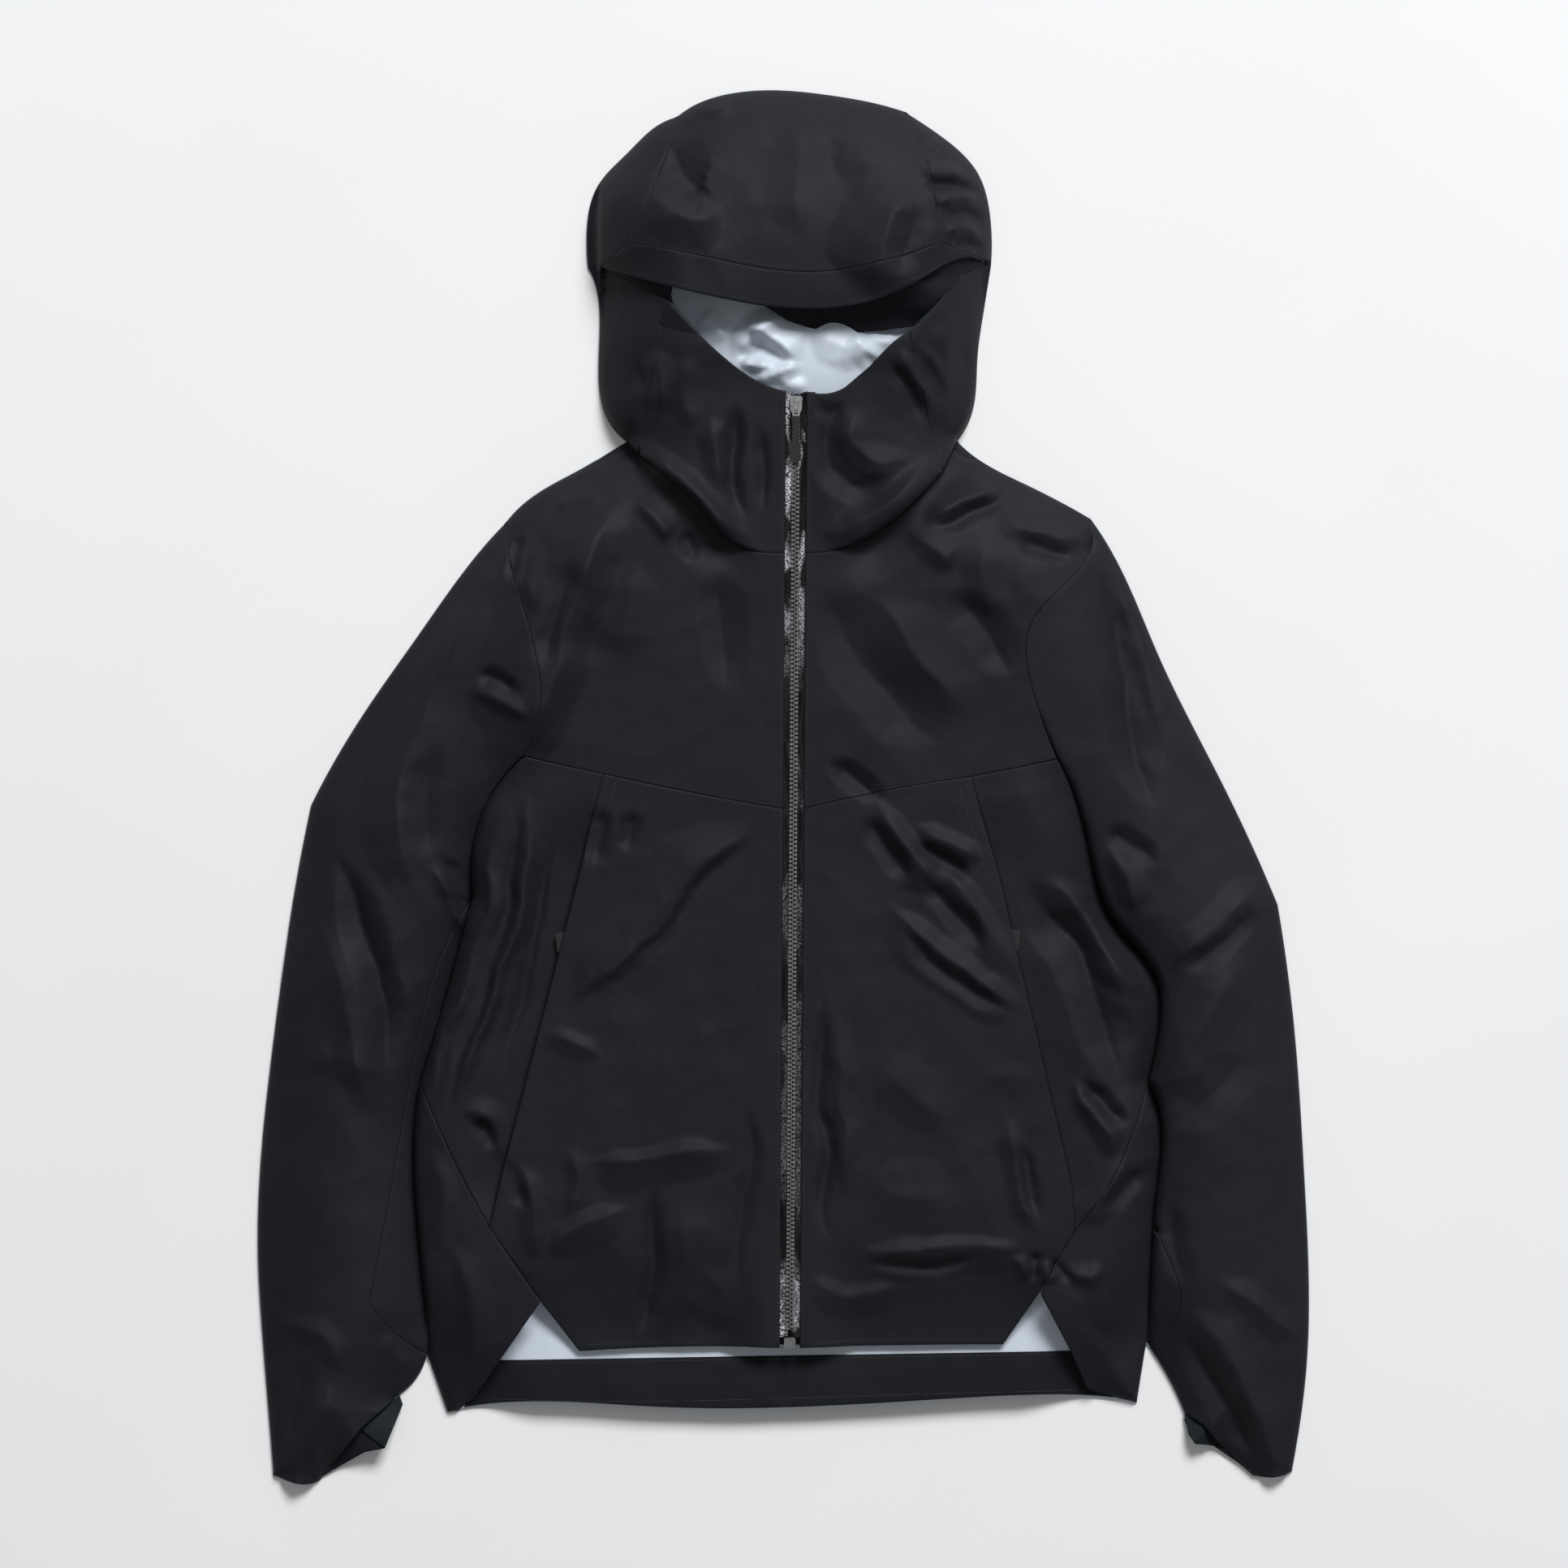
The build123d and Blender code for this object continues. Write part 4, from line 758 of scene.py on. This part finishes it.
def woven(name, dark, light, roughness, sheen, pitch=0.00065, grain=0.5, specular=0.5):
    """Fine plain weave: crossed threads, irregular yarns, faint large-scale variation and rubbed patches of
    gloss.
    """
    n = Nodes(name)
    threads = 1 / pitch / 3.14
    warp = n.wave(threads, "X")
    weft = n.wave(threads, "Y")
    weave = n.math("MULTIPLY", warp, weft)
    yarn = n.noise(1150, 3, 0.65)
    slub = n.noise(700, 2, 0.5, (1, 0.14, 1))
    texture = n.math("ADD", n.math("MULTIPLY", weave, 0.35), n.math("MULTIPLY", yarn, grain))
    texture = n.math("ADD", texture, n.math("MULTIPLY", slub, 0.2))
    colour = n.ramp(texture, dark, light, 0.28, 0.82)
    patch = n.noise(9, 4, 0.6)
    tint = n.ramp(patch, tuple(0.86 * c for c in dark), tuple(1.1 * c for c in light), 0.3, 0.75)
    n.link(n.mix(n.math("MULTIPLY", patch, 0.42), colour, tint), n.shader.inputs["Base Color"])
    wear_and_glint = n.noise(34, 5, 0.6)
    both = n.math("ADD", n.math("MULTIPLY", wear_and_glint, 0.6), n.math("MULTIPLY", yarn, 0.4))
    n.link(n.scale_range(both, roughness - 0.09, roughness + 0.09), n.shader.inputs["Roughness"])
    facets = n.bump(n.math("MULTIPLY", n.creases(26), n.noise(12, 2, 0.5)), 0.5, 0.004)
    ripple = n.bump(n.noise(130, 3, 0.5), 0.22, 0.0006, facets)
    n.link(n.bump(texture, 0.32, 0.00016, ripple), n.shader.inputs["Normal"])
    n.shader.inputs["Specular IOR Level"].default_value = specular
    n.shader.inputs["Sheen Weight"].default_value = sheen
    n.shader.inputs["Sheen Roughness"].default_value = 0.5
    return n.material


def moulded(name, dark, light, roughness, bump=0.25, scale=420):
    """Moulded or painted hard part with fine texture, scuffs and slightly uneven gloss."""
    n = Nodes(name)
    fine = n.noise(scale, 4, 0.6)
    scuff = n.noise(90, 5, 0.7, (1, 0.3, 1))
    n.link(n.ramp(n.math("ADD", n.math("MULTIPLY", fine, 0.5), n.math("MULTIPLY", scuff, 0.5)), dark, light),
           n.shader.inputs["Base Color"])
    n.link(n.scale_range(scuff, max(roughness - 0.1, 0.05), roughness + 0.14), n.shader.inputs["Roughness"])
    n.link(n.bump(fine, bump, 0.0002), n.shader.inputs["Normal"])
    return n.material


def coated_tape():
    """Water-repellent zip tape: glossy film over a fine herringbone, with glints painted into its colour in
    patches.
    """
    n = Nodes("zip_tape")
    ribs = n.math("MULTIPLY", n.wave(560, "X", 1.2), n.wave(420, "DIAGONAL", 0.8))
    grain = n.noise(1300, 3, 0.7)
    fine = n.math("ADD", n.math("MULTIPLY", ribs, 0.5), n.math("MULTIPLY", grain, 0.7))
    patches = n.noise(60, 1, 0.4, (1.5, 0.28, 1))
    # painted highlight: pale patches of colour where the glossy film would glint, broken up by the specks
    # below
    wear_and_glint = n.ramp(n.noise(26, 3, 0.6, (1.6, 0.5, 1)), (0, 0, 0), (1, 1, 1), 0.50, 0.58)
    glint_specks = n.ramp(n.noise(900, 2, 0.7), (0, 0, 0), (1, 1, 1), 0.42, 0.60)
    apart = n.add("ShaderNodeSeparateXYZ")
    n.link(n.place, apart.inputs["Vector"])
    # the painted glints are strongest near the collar and at the hem, both in metres along Y
    near_top = n.math("MULTIPLY", n.math("SUBTRACT", apart.outputs["Y"], 0.06), 9.0)
    near_hem = n.math("MULTIPLY", n.math("SUBTRACT", -0.345, apart.outputs["Y"]), 30.0)
    glint_reach = n.math("MINIMUM", n.math("MAXIMUM", n.math("MAXIMUM", near_top, near_hem), 0.22), 1)
    painted_glint = n.math("MULTIPLY", n.math("MULTIPLY", wear_and_glint, glint_specks), glint_reach)
    base = n.math("ADD", n.math("MULTIPLY", fine, 0.12), painted_glint)
    # the pale end of this ramp is painted highlight; the tape itself is near-black
    colour = n.ramp(base, (0.0015, 0.0015, 0.002), (0.62, 0.63, 0.66), 0.12, 1.0)
    n.link(colour, n.shader.inputs["Base Color"])
    n.link(n.scale_range(n.noise(160, 3, 0.6, (1, 0.3, 1)), 0.12, 0.34), n.shader.inputs["Roughness"])
    n.link(n.bump(fine, 0.5, 0.0002, n.bump(patches, 1.0, 0.005)), n.shader.inputs["Normal"])
    n.shader.inputs["Specular IOR Level"].default_value = 0.22
    return n.material


SHELL = woven("shell_fabric", (0.0056, 0.0059, 0.0083), (0.0142, 0.0149, 0.0203), 0.66, 0.01,
              specular=0.17)
LINING = woven("lining", (0.46, 0.52, 0.59), (0.60, 0.655, 0.72), 0.5, 0.03, 0.0008, 0.35)
FACING = woven("facing", (0.0058, 0.0061, 0.0084), (0.0130, 0.0136, 0.0180), 0.75, 0.01, specular=0.12)
GUSSET = woven("stretch_gusset", (0.0035, 0.0062, 0.0072), (0.009, 0.0145, 0.016), 0.7, 0.03, 0.001,
               specular=0.15)
TAPE = coated_tape()
TEETH = moulded("zip_teeth", (0.055, 0.056, 0.058), (0.150, 0.152, 0.156), 0.42)
METAL = moulded("slider_metal", (0.06, 0.06, 0.063), (0.22, 0.222, 0.228), 0.2, 0.35, 300)
GRIP = moulded("pull_grip", (0.0045, 0.0036, 0.0036), (0.011, 0.0085, 0.0083), 0.75, 0.5, 700)
THREAD = moulded("stitch_thread", (0.016, 0.016, 0.018), (0.045, 0.045, 0.05), 0.55, 0.8, 1500)


# ---- fabric panels ------------------------------------------------------------------
def cloth(node, points, height, faces, materials, thickness):
    """A sheet at the given heights that stands for a CAD node; its inner face takes the last material."""
    verts = np.column_stack([points, height])
    obj = make_object(node + "_cloth", verts, face_up(faces, points), materials)
    thicken(obj, thickness, len(materials) - 1)
    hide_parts(node)
    return obj


def front_panel(node):
    loop = LOOPS[node]
    points, faces = triangulate(loop, STEP)
    height = lay(points, node)
    seam = distance_to(points, segments(loop))
    outer = distance_to(points, OUTER) if len(OUTER_OF[node]) else np.full(len(points), 99.0)
    groove = SEAM_GROOVE * (1 - smooth(seam / 0.9)) - 0.10 * np.exp(-((seam - 2.6) / 1.3) ** 2)
    height = height - np.where(outer > 3.0, groove, 0.0)
    thickness = BRIM_CLOTH if node == "hood_brim" else CLOTH
    cloth(node, points, height, faces, [SHELL, LINING], thickness)


def back_relief(points):
    """The back layer lies almost flat; its stiff hem and cuffs stand a little off the floor."""
    out = np.array([abs(noise.noise(Vector((x / 70, y / 90, 11.0)))) for x, y in points]) * 0.9
    clear = distance_to(points, OUTER)
    out += HEM_LIFT * smooth(1 - distance_to(points, BACK_HEM) / 120) * smooth(clear / 60)
    out += CUFF_LIFT * smooth(1 - distance_to(points, BACK_CUFFS) / 50) * smooth(clear / 30)
    return out


def back_panel(node):
    loop = LOOPS[node]
    points, faces = triangulate(loop, STEP if node == "hood_back_panel" else STEP * 2)
    edge = distance_to(points, segments(loop))
    height = BACK_TOP + back_relief(points)
    if node == "hood_back_panel":
        height = height + lining_folds(points) * smooth(edge / 40)
    obj = cloth(node, points, height, faces, [LINING, SHELL], CLOTH)
    obj.modifiers["thickness"].material_offset_rim = 1


LINING_GAIN = 1.25
# Folds of the pale lining seen through the face opening, given as in FOLDS.
LINING_FOLDS = [
    (8.0, 24, 8, [(-30, 345), (-18, 338), (-2, 328), (15, 314)]),
    (-3.0, 8, 12, [(-24, 334), (-8, 324), (8, 312)]),
    (7.0, 9, 18, [(16, 314), (4, 309), (-8, 305), (-26, 300)]),
    (6.0, 9, 16, [(6, 349), (-8, 344), (-18, 338), (-27, 328), (-36, 318)]),
    (-4.0, 7, 9, [(-12, 338), (-24, 326), (-32, 314)]),
    (5.0, 8, 10, [(-32, 316), (-20, 312), (-6, 313)]),
    (-3.0, 6, 7, [(-30, 309), (-18, 307), (-6, 309)]),
    (6.5, 9, 15, [(54, 337), (57, 330), (64, 323), (76, 315)]),
    (-3.0, 7, 8, [(60, 322), (68, 315), (78, 309)]),
    (4.0, 9, 9, [(60, 334), (74, 330), (88, 332)]),
    (3.5, 8, 10, [(-4, 303), (6, 298), (20, 297)]),
    (4.0, 24, 20, [(20, 336), (44, 326), (50, 306)]),
    (4.0, 12, 14, [(-62, 352), (-52, 344), (-40, 330)]),
]


def lining_folds(points):
    """The lining's swell behind the face opening, with its folds."""
    away = np.hypot((points[:, 0] - 14) / 1.35, points[:, 1] - 312)
    total = 38.0 * smooth(1 - away / 120) ** 0.7
    for one in LINING_FOLDS:
        total += LINING_GAIN * fold_height(points, one)
    return np.maximum(total, 0)


def under_layer(node, drop):
    """A facing on the inner side of a front panel, following the same lay."""
    points, faces = triangulate(plan_loop(node), STEP)
    height = lay(points, "facing") - drop
    cloth(node, points, height, faces, [FACING], FACING_CLOTH)


def flat_layer(node, material, lift=0.0):
    """A facing, label or gusset that lies on the back layer."""
    loop = plan_loop(node)
    points, faces = triangulate(loop, STEP)
    edge = distance_to(points, segments(loop))
    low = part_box(node)[0][2] / MM
    relief = np.array([abs(noise.noise(Vector((x / 30, y / 18, 2.0)))) for x, y in points])
    height = low + 0.5 + lift + 0.7 * relief * smooth(edge / 6) + 0.15 * np.exp(-((edge - 2.4) / 0.8) ** 2)
    height += back_relief(points)
    cloth(node, points, height, faces, [material], 0.45)


def hood_edge_facing():
    """Black inner side of the hood's edge: under the brim, in both corners and hanging at the left."""
    loop = np.array([(-132, 385), (-108, 373), (-86, 361), (-80, 357), (-82, 364), (-80, 372), (-60, 374),
                     (-30, 366), (-12, 355), (4, 345), (20, 340), (46, 336), (72, 338), (97, 341.5),
                     (120, 364), (134, 379), (150, 390), (128, 396), (98, 390), (54, 376), (6, 374),
                     (-48, 384), (-96, 392), (-128, 396)], float)
    points, faces = triangulate(loop, STEP)
    x, y = points[:, 0], points[:, 1]
    depth = 8.5 + 14 * smooth((x + 20) / 60) * smooth((135 - x) / 40) * smooth((372 - y) / 30)
    hang = np.array([noise.noise(Vector((u / 26, v / 12, 4.0))) for u, v in points])
    corner = smooth((np.abs(x - 8) - 90) / 30)
    height = lay(points, "facing") - depth * (1 - 0.3 * corner) - 2.2 * hang
    cloth("brim_facing", points, height, faces, [FACING], FACING_CLOTH)


def binding(name, side):
    """Narrow black binding that lies under the lap between body and sleeve."""
    reach = 7.0
    line = side_line(side)
    rows = []
    for across in (-reach, -reach / 2, 0.0, reach / 2, reach):
        row = offset_inward(line, across)
        z = np.minimum(lay(row, OVER_AT[side]), lay(row, UNDER_AT[side])) - 2.0
        rows.append(np.column_stack([row, z]))
    count = len(line)
    verts = np.vstack(rows)
    faces = []
    for r in range(len(rows) - 1):
        for i in range(count - 1):
            a = r * count + i
            faces.append((a, a + 1, a + count + 1, a + count))
    obj = make_object(name, verts, face_up(faces, verts), [FACING])
    thicken(obj, FACING_CLOTH, 0)


def side_line(side):
    """The line between body and sleeve from the chest down, ordered and evenly spaced."""
    segs = VALLEY[VALLEY[:, 0] < 0] if side == "right" else VALLEY[VALLEY[:, 0] > 0]
    middle = (segs[:, :2] + segs[:, 2:]) / 2
    middle = middle[np.argsort(-middle[:, 1])]
    level = np.arange(70, middle[-1, 1] + 3, -6.0)
    x = np.interp(-level, -middle[:, 1], middle[:, 0])
    for _ in range(2):
        x[1:-1] = (x[:-2] + 2 * x[1:-1] + x[2:]) / 4
    return np.column_stack([x, level])


OVER_AT = {"right": "side_panel_right", "left": "sleeve_front_left"}
UNDER_AT = {"right": "sleeve_front_right", "left": "side_panel_left"}


def zip_layer(node, below):
    """A soft strip behind the zip."""
    points, faces = triangulate(plan_loop(node), STEP)
    wave = np.array([noise.noise(Vector((u / 20, v / 35, 6.0))) for u, v in points])
    height = zip_z(points[:, 1]) - below + 0.35 * wave
    cloth(node, points, height, faces, [FACING], 0.5)


def pocket_bag(node):
    """A bag's front layer, hanging below the front panels."""
    points, faces = triangulate(plan_loop(node), STEP * 1.6)
    height = lay(points, "bag") - 10.5
    cloth(node, points, height, faces, [LINING], FACING_CLOTH)


def hanger_loop():
    """Narrow strap sewn down at both ends, arched between them."""
    low, high = (np.array(v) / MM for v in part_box("hanger_loop"))
    count = 40
    half = (high[1] - low[1]) / 2
    mid = (high[1] + low[1]) / 2
    verts = []
    for i in range(count + 1):
        t = i / count
        x = low[0] + (high[0] - low[0]) * t
        arch = float(smooth(min(t, 1 - t) / 0.2))
        z = low[2] + 0.6 + (high[2] - low[2] - 0.8) * arch
        verts += [(x, mid - half, z), (x, mid, z + 0.15), (x, mid + half, z)]
    faces = []
    for i in range(count):
        a = 3 * i
        faces += [(a, a + 3, a + 4, a + 1), (a + 1, a + 4, a + 5, a + 2)]
    obj = make_object("hanger_loop_strap", verts, faces, [FACING])
    thicken(obj, 0.7, 0)
    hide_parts("hanger_loop")


def offset_inward(line, gap):
    """The same line moved to its left by a gap."""
    line = np.asarray(line, float)
    run = np.gradient(line, axis=0)
    normal = np.stack([-run[:, 1], run[:, 0]], axis=1)
    normal /= np.maximum(np.linalg.norm(normal, axis=1), 1e-9)[:, None]
    return line + gap * normal


STITCH_LONG = 2.1
STITCH_PITCH = 2.9
STITCH_WIDE = 0.34


def stitches(name, line, height):
    """A row of lockstitches along a line on the cloth: each one dips into it at both ends."""
    fine = smooth_line(line, 1.0)
    steps = np.linalg.norm(np.diff(fine, axis=0), axis=1)
    length = np.concatenate([[0], np.cumsum(steps)])
    starts = np.arange(0.8, length[-1] - STITCH_LONG - 0.5, STITCH_PITCH)
    along = (starts[:, None] + STITCH_LONG * np.linspace(0, 1, 4)[None, :]).ravel()
    places = np.column_stack([np.interp(along, length, fine[:, k]) for k in (0, 1)])
    level = height(places).reshape(-1, 4)
    places = places.reshape(-1, 4, 2)
    verts = []
    faces = []
    for spots, z in zip(places, level):
        run = spots[-1] - spots[0]
        across = np.array([-run[1], run[0]]) / max(np.hypot(*run), 1e-6) * STITCH_WIDE / 2
        base = len(verts)
        for k in range(4):
            raised = 0.12 if k in (1, 2) else -0.18
            verts += [(*(spots[k] - across), z[k] + raised - 0.1), (*spots[k], z[k] + raised + 0.12),
                      (*(spots[k] + across), z[k] + raised - 0.1)]
        for k in range(3):
            a = base + 3 * k
            faces += [(a, a + 3, a + 4, a + 1), (a + 1, a + 4, a + 5, a + 2)]
    make_object(name, verts, faces, [THREAD])


for name in FRONT:
    front_panel(name)
for name in BACK:
    back_panel(name)
for name in ("brim_stiffener", "collar_facing_right", "collar_facing_left"):
    under_layer(name, 2.2)
hood_edge_facing()
for name in ("front_hem_facing_right", "front_hem_facing_left"):
    under_layer(name, 0.9)
for name in ("back_hem_facing", "cuff_facing_right", "cuff_facing_left", "neck_label"):
    flat_layer(name, FACING)
for name in ("cuff_gusset_right", "cuff_gusset_left"):
    flat_layer(name, GUSSET, 0.4)
binding("side_binding_right", "right")
binding("side_binding_left", "left")
zip_layer("main_zip_storm_flap", 6.2)
zip_layer("chin_guard", 7.8)
for name in ("pocket_bag_right", "pocket_bag_left"):
    pocket_bag(name)
hanger_loop()


def on_front(node):
    return lambda places: lay(places, node)


def on_back(places):
    return 1.9 + back_relief(places)


def zip_stitches(side):
    """Stitching down each front beside the zip, from collar to hem."""
    reach = 9.6 if side == "left" else -9.6
    for part, top, low in (("collar", 290, 178), ("front_yoke", 171, -11), ("front_lower", -18, -409)):
        ys = np.linspace(top, low, max(3, int((top - low) / 20)))
        line = [(zip_x(y) + reach, y) for y in ys]
        stitches(f"zip_stitches_{part}_{side}", line, on_front(f"{part}_{side}"))


def shifted(line, dx):
    return [(x + dx, y) for x, y in line]


BRIM_STITCH = [(-108, 402.5), (-46, 391), (18, 382.2), (75, 390), (112, 402.5)]
BRIM_EDGE_STITCH = [(-118, 383.5), (-90, 375), (-46, 364), (7, 356), (56, 359), (99, 376), (124, 390)]
POCKET_STITCH = {"right": [(-131, 6), (-138, -18), (-148, -60)], "left": [(139, 4), (147, -22), (158, -58)]}
CHEST_STITCH = {"right": [(-9, -11.5), (-55, -3), (-128, 12)], "left": [(24, -11.5), (58, -3), (136, 10)]}
HEM_STITCH = {"right": [(-146, -411.5), (-106, -409.6), (-12, -409)],
              "left": [(24, -409), (86, -407.6), (158, -407.4)]}

stitches("brim_seam_stitches", BRIM_STITCH, on_front("hood_crown_panel"))
stitches("brim_edge_stitches", BRIM_EDGE_STITCH, on_front("hood_brim"))
stitches("band_top_stitches", [(-203, -425.5), (0, -422), (206, -418.5)], on_back)
stitches("band_low_stitches", [(-214, -452), (-93, -453.4), (124, -447.4), (220, -445.4)], on_back)
for side in ("right", "left"):
    zip_stitches(side)
    inward = 2.6 if side == "right" else -2.6
    stitches(f"pocket_stitches_{side}", shifted(POCKET_STITCH[side], inward), on_front(f"front_lower_{side}"))
    stitches(f"pocket_second_stitches_{side}", shifted(POCKET_STITCH[side], 3.4 * inward),
             on_front(f"front_lower_{side}"))
    stitches(f"chest_stitches_{side}", CHEST_STITCH[side], on_front(f"front_yoke_{side}"))
    stitches(f"front_hem_stitches_{side}", HEM_STITCH[side], on_front(f"front_lower_{side}"))


# ---- carried-over CAD nodes ---------------------------------------------------------
BY_SLOT = {"zip_tape": TAPE, "zip_teeth": TEETH, "slider_metal": METAL, "pull_grip": GRIP,
           "facing": FACING, "lining": LINING, "shell_fabric": SHELL, "stretch_gusset": GUSSET}
for part in frame["record"]["subparts"]:
    cad = NODES[part["node"]]
    for place in cad.material_slots:
        place.link = "OBJECT"
        place.material = BY_SLOT[part["material_slot"]]


# ---- floor, light and camera --------------------------------------------------------
def floor():
    size = 6.0
    mesh = bpy.data.meshes.new("floor")
    mesh.from_pydata([(-size, -size, -0.0006), (size, -size, -0.0006), (size, size, -0.0006),
                      (-size, size, -0.0006)], [], [(0, 1, 2, 3)])
    n = Nodes("floor_paper")
    tone = n.ramp(n.noise(3, 3), (0.775, 0.785, 0.797), (0.795, 0.805, 0.817))
    n.link(tone, n.shader.inputs["Base Color"])
    n.link(n.bump(n.noise(800, 2), 0.05, 0.0002), n.shader.inputs["Normal"])
    n.shader.inputs["Roughness"].default_value = 0.9
    n.shader.inputs["Specular IOR Level"].default_value = 0.1
    mesh.materials.append(n.material)
    obj = bpy.data.objects.new("floor", mesh)
    bpy.context.scene.collection.objects.link(obj)


def area_light(name, place, target, size, power):
    data = bpy.data.lights.new(name, "AREA")
    data.shape = "RECTANGLE"
    data.size, data.size_y = size
    data.energy = power
    obj = bpy.data.objects.new(name, data)
    obj.location = place
    obj.rotation_euler = (Vector(target) - Vector(place)).to_track_quat("-Z", "Y").to_euler()
    bpy.context.scene.collection.objects.link(obj)


def world():
    data = bpy.data.worlds.new("studio")
    data.use_nodes = True
    background = data.node_tree.nodes["Background"]
    background.inputs["Color"].default_value = (0.97, 0.985, 1.0, 1)
    background.inputs["Strength"].default_value = 0.23
    bpy.context.scene.world = data


FRAME_WIDTH = 1.1592      # metres of floor across the picture
CAMERA_HEIGHT = 7.0
AIM = (0.0015, 0.0036)


def camera():
    data = bpy.data.cameras.new("camera")
    data.sensor_width = 36
    plane = CAMERA_HEIGHT - 0.02
    data.lens = 36 / 2 / (FRAME_WIDTH / 2 / plane)
    data.clip_end = 60
    obj = bpy.data.objects.new("camera", data)
    obj.location = (AIM[0], AIM[1], CAMERA_HEIGHT)
    obj.rotation_euler = (0, 0, 0)
    bpy.context.scene.collection.objects.link(obj)
    bpy.context.scene.camera = obj


floor()
world()
area_light("key", (2.4, 6.3, 6.1), (0, -0.25, 0), (4.2, 3.0), 1010)
area_light("top", (0.05, -0.55, 9.0), (0, 0, 0), (0.9, 1.9), 46)
camera()
bpy.context.scene.view_settings.view_transform = "Standard"
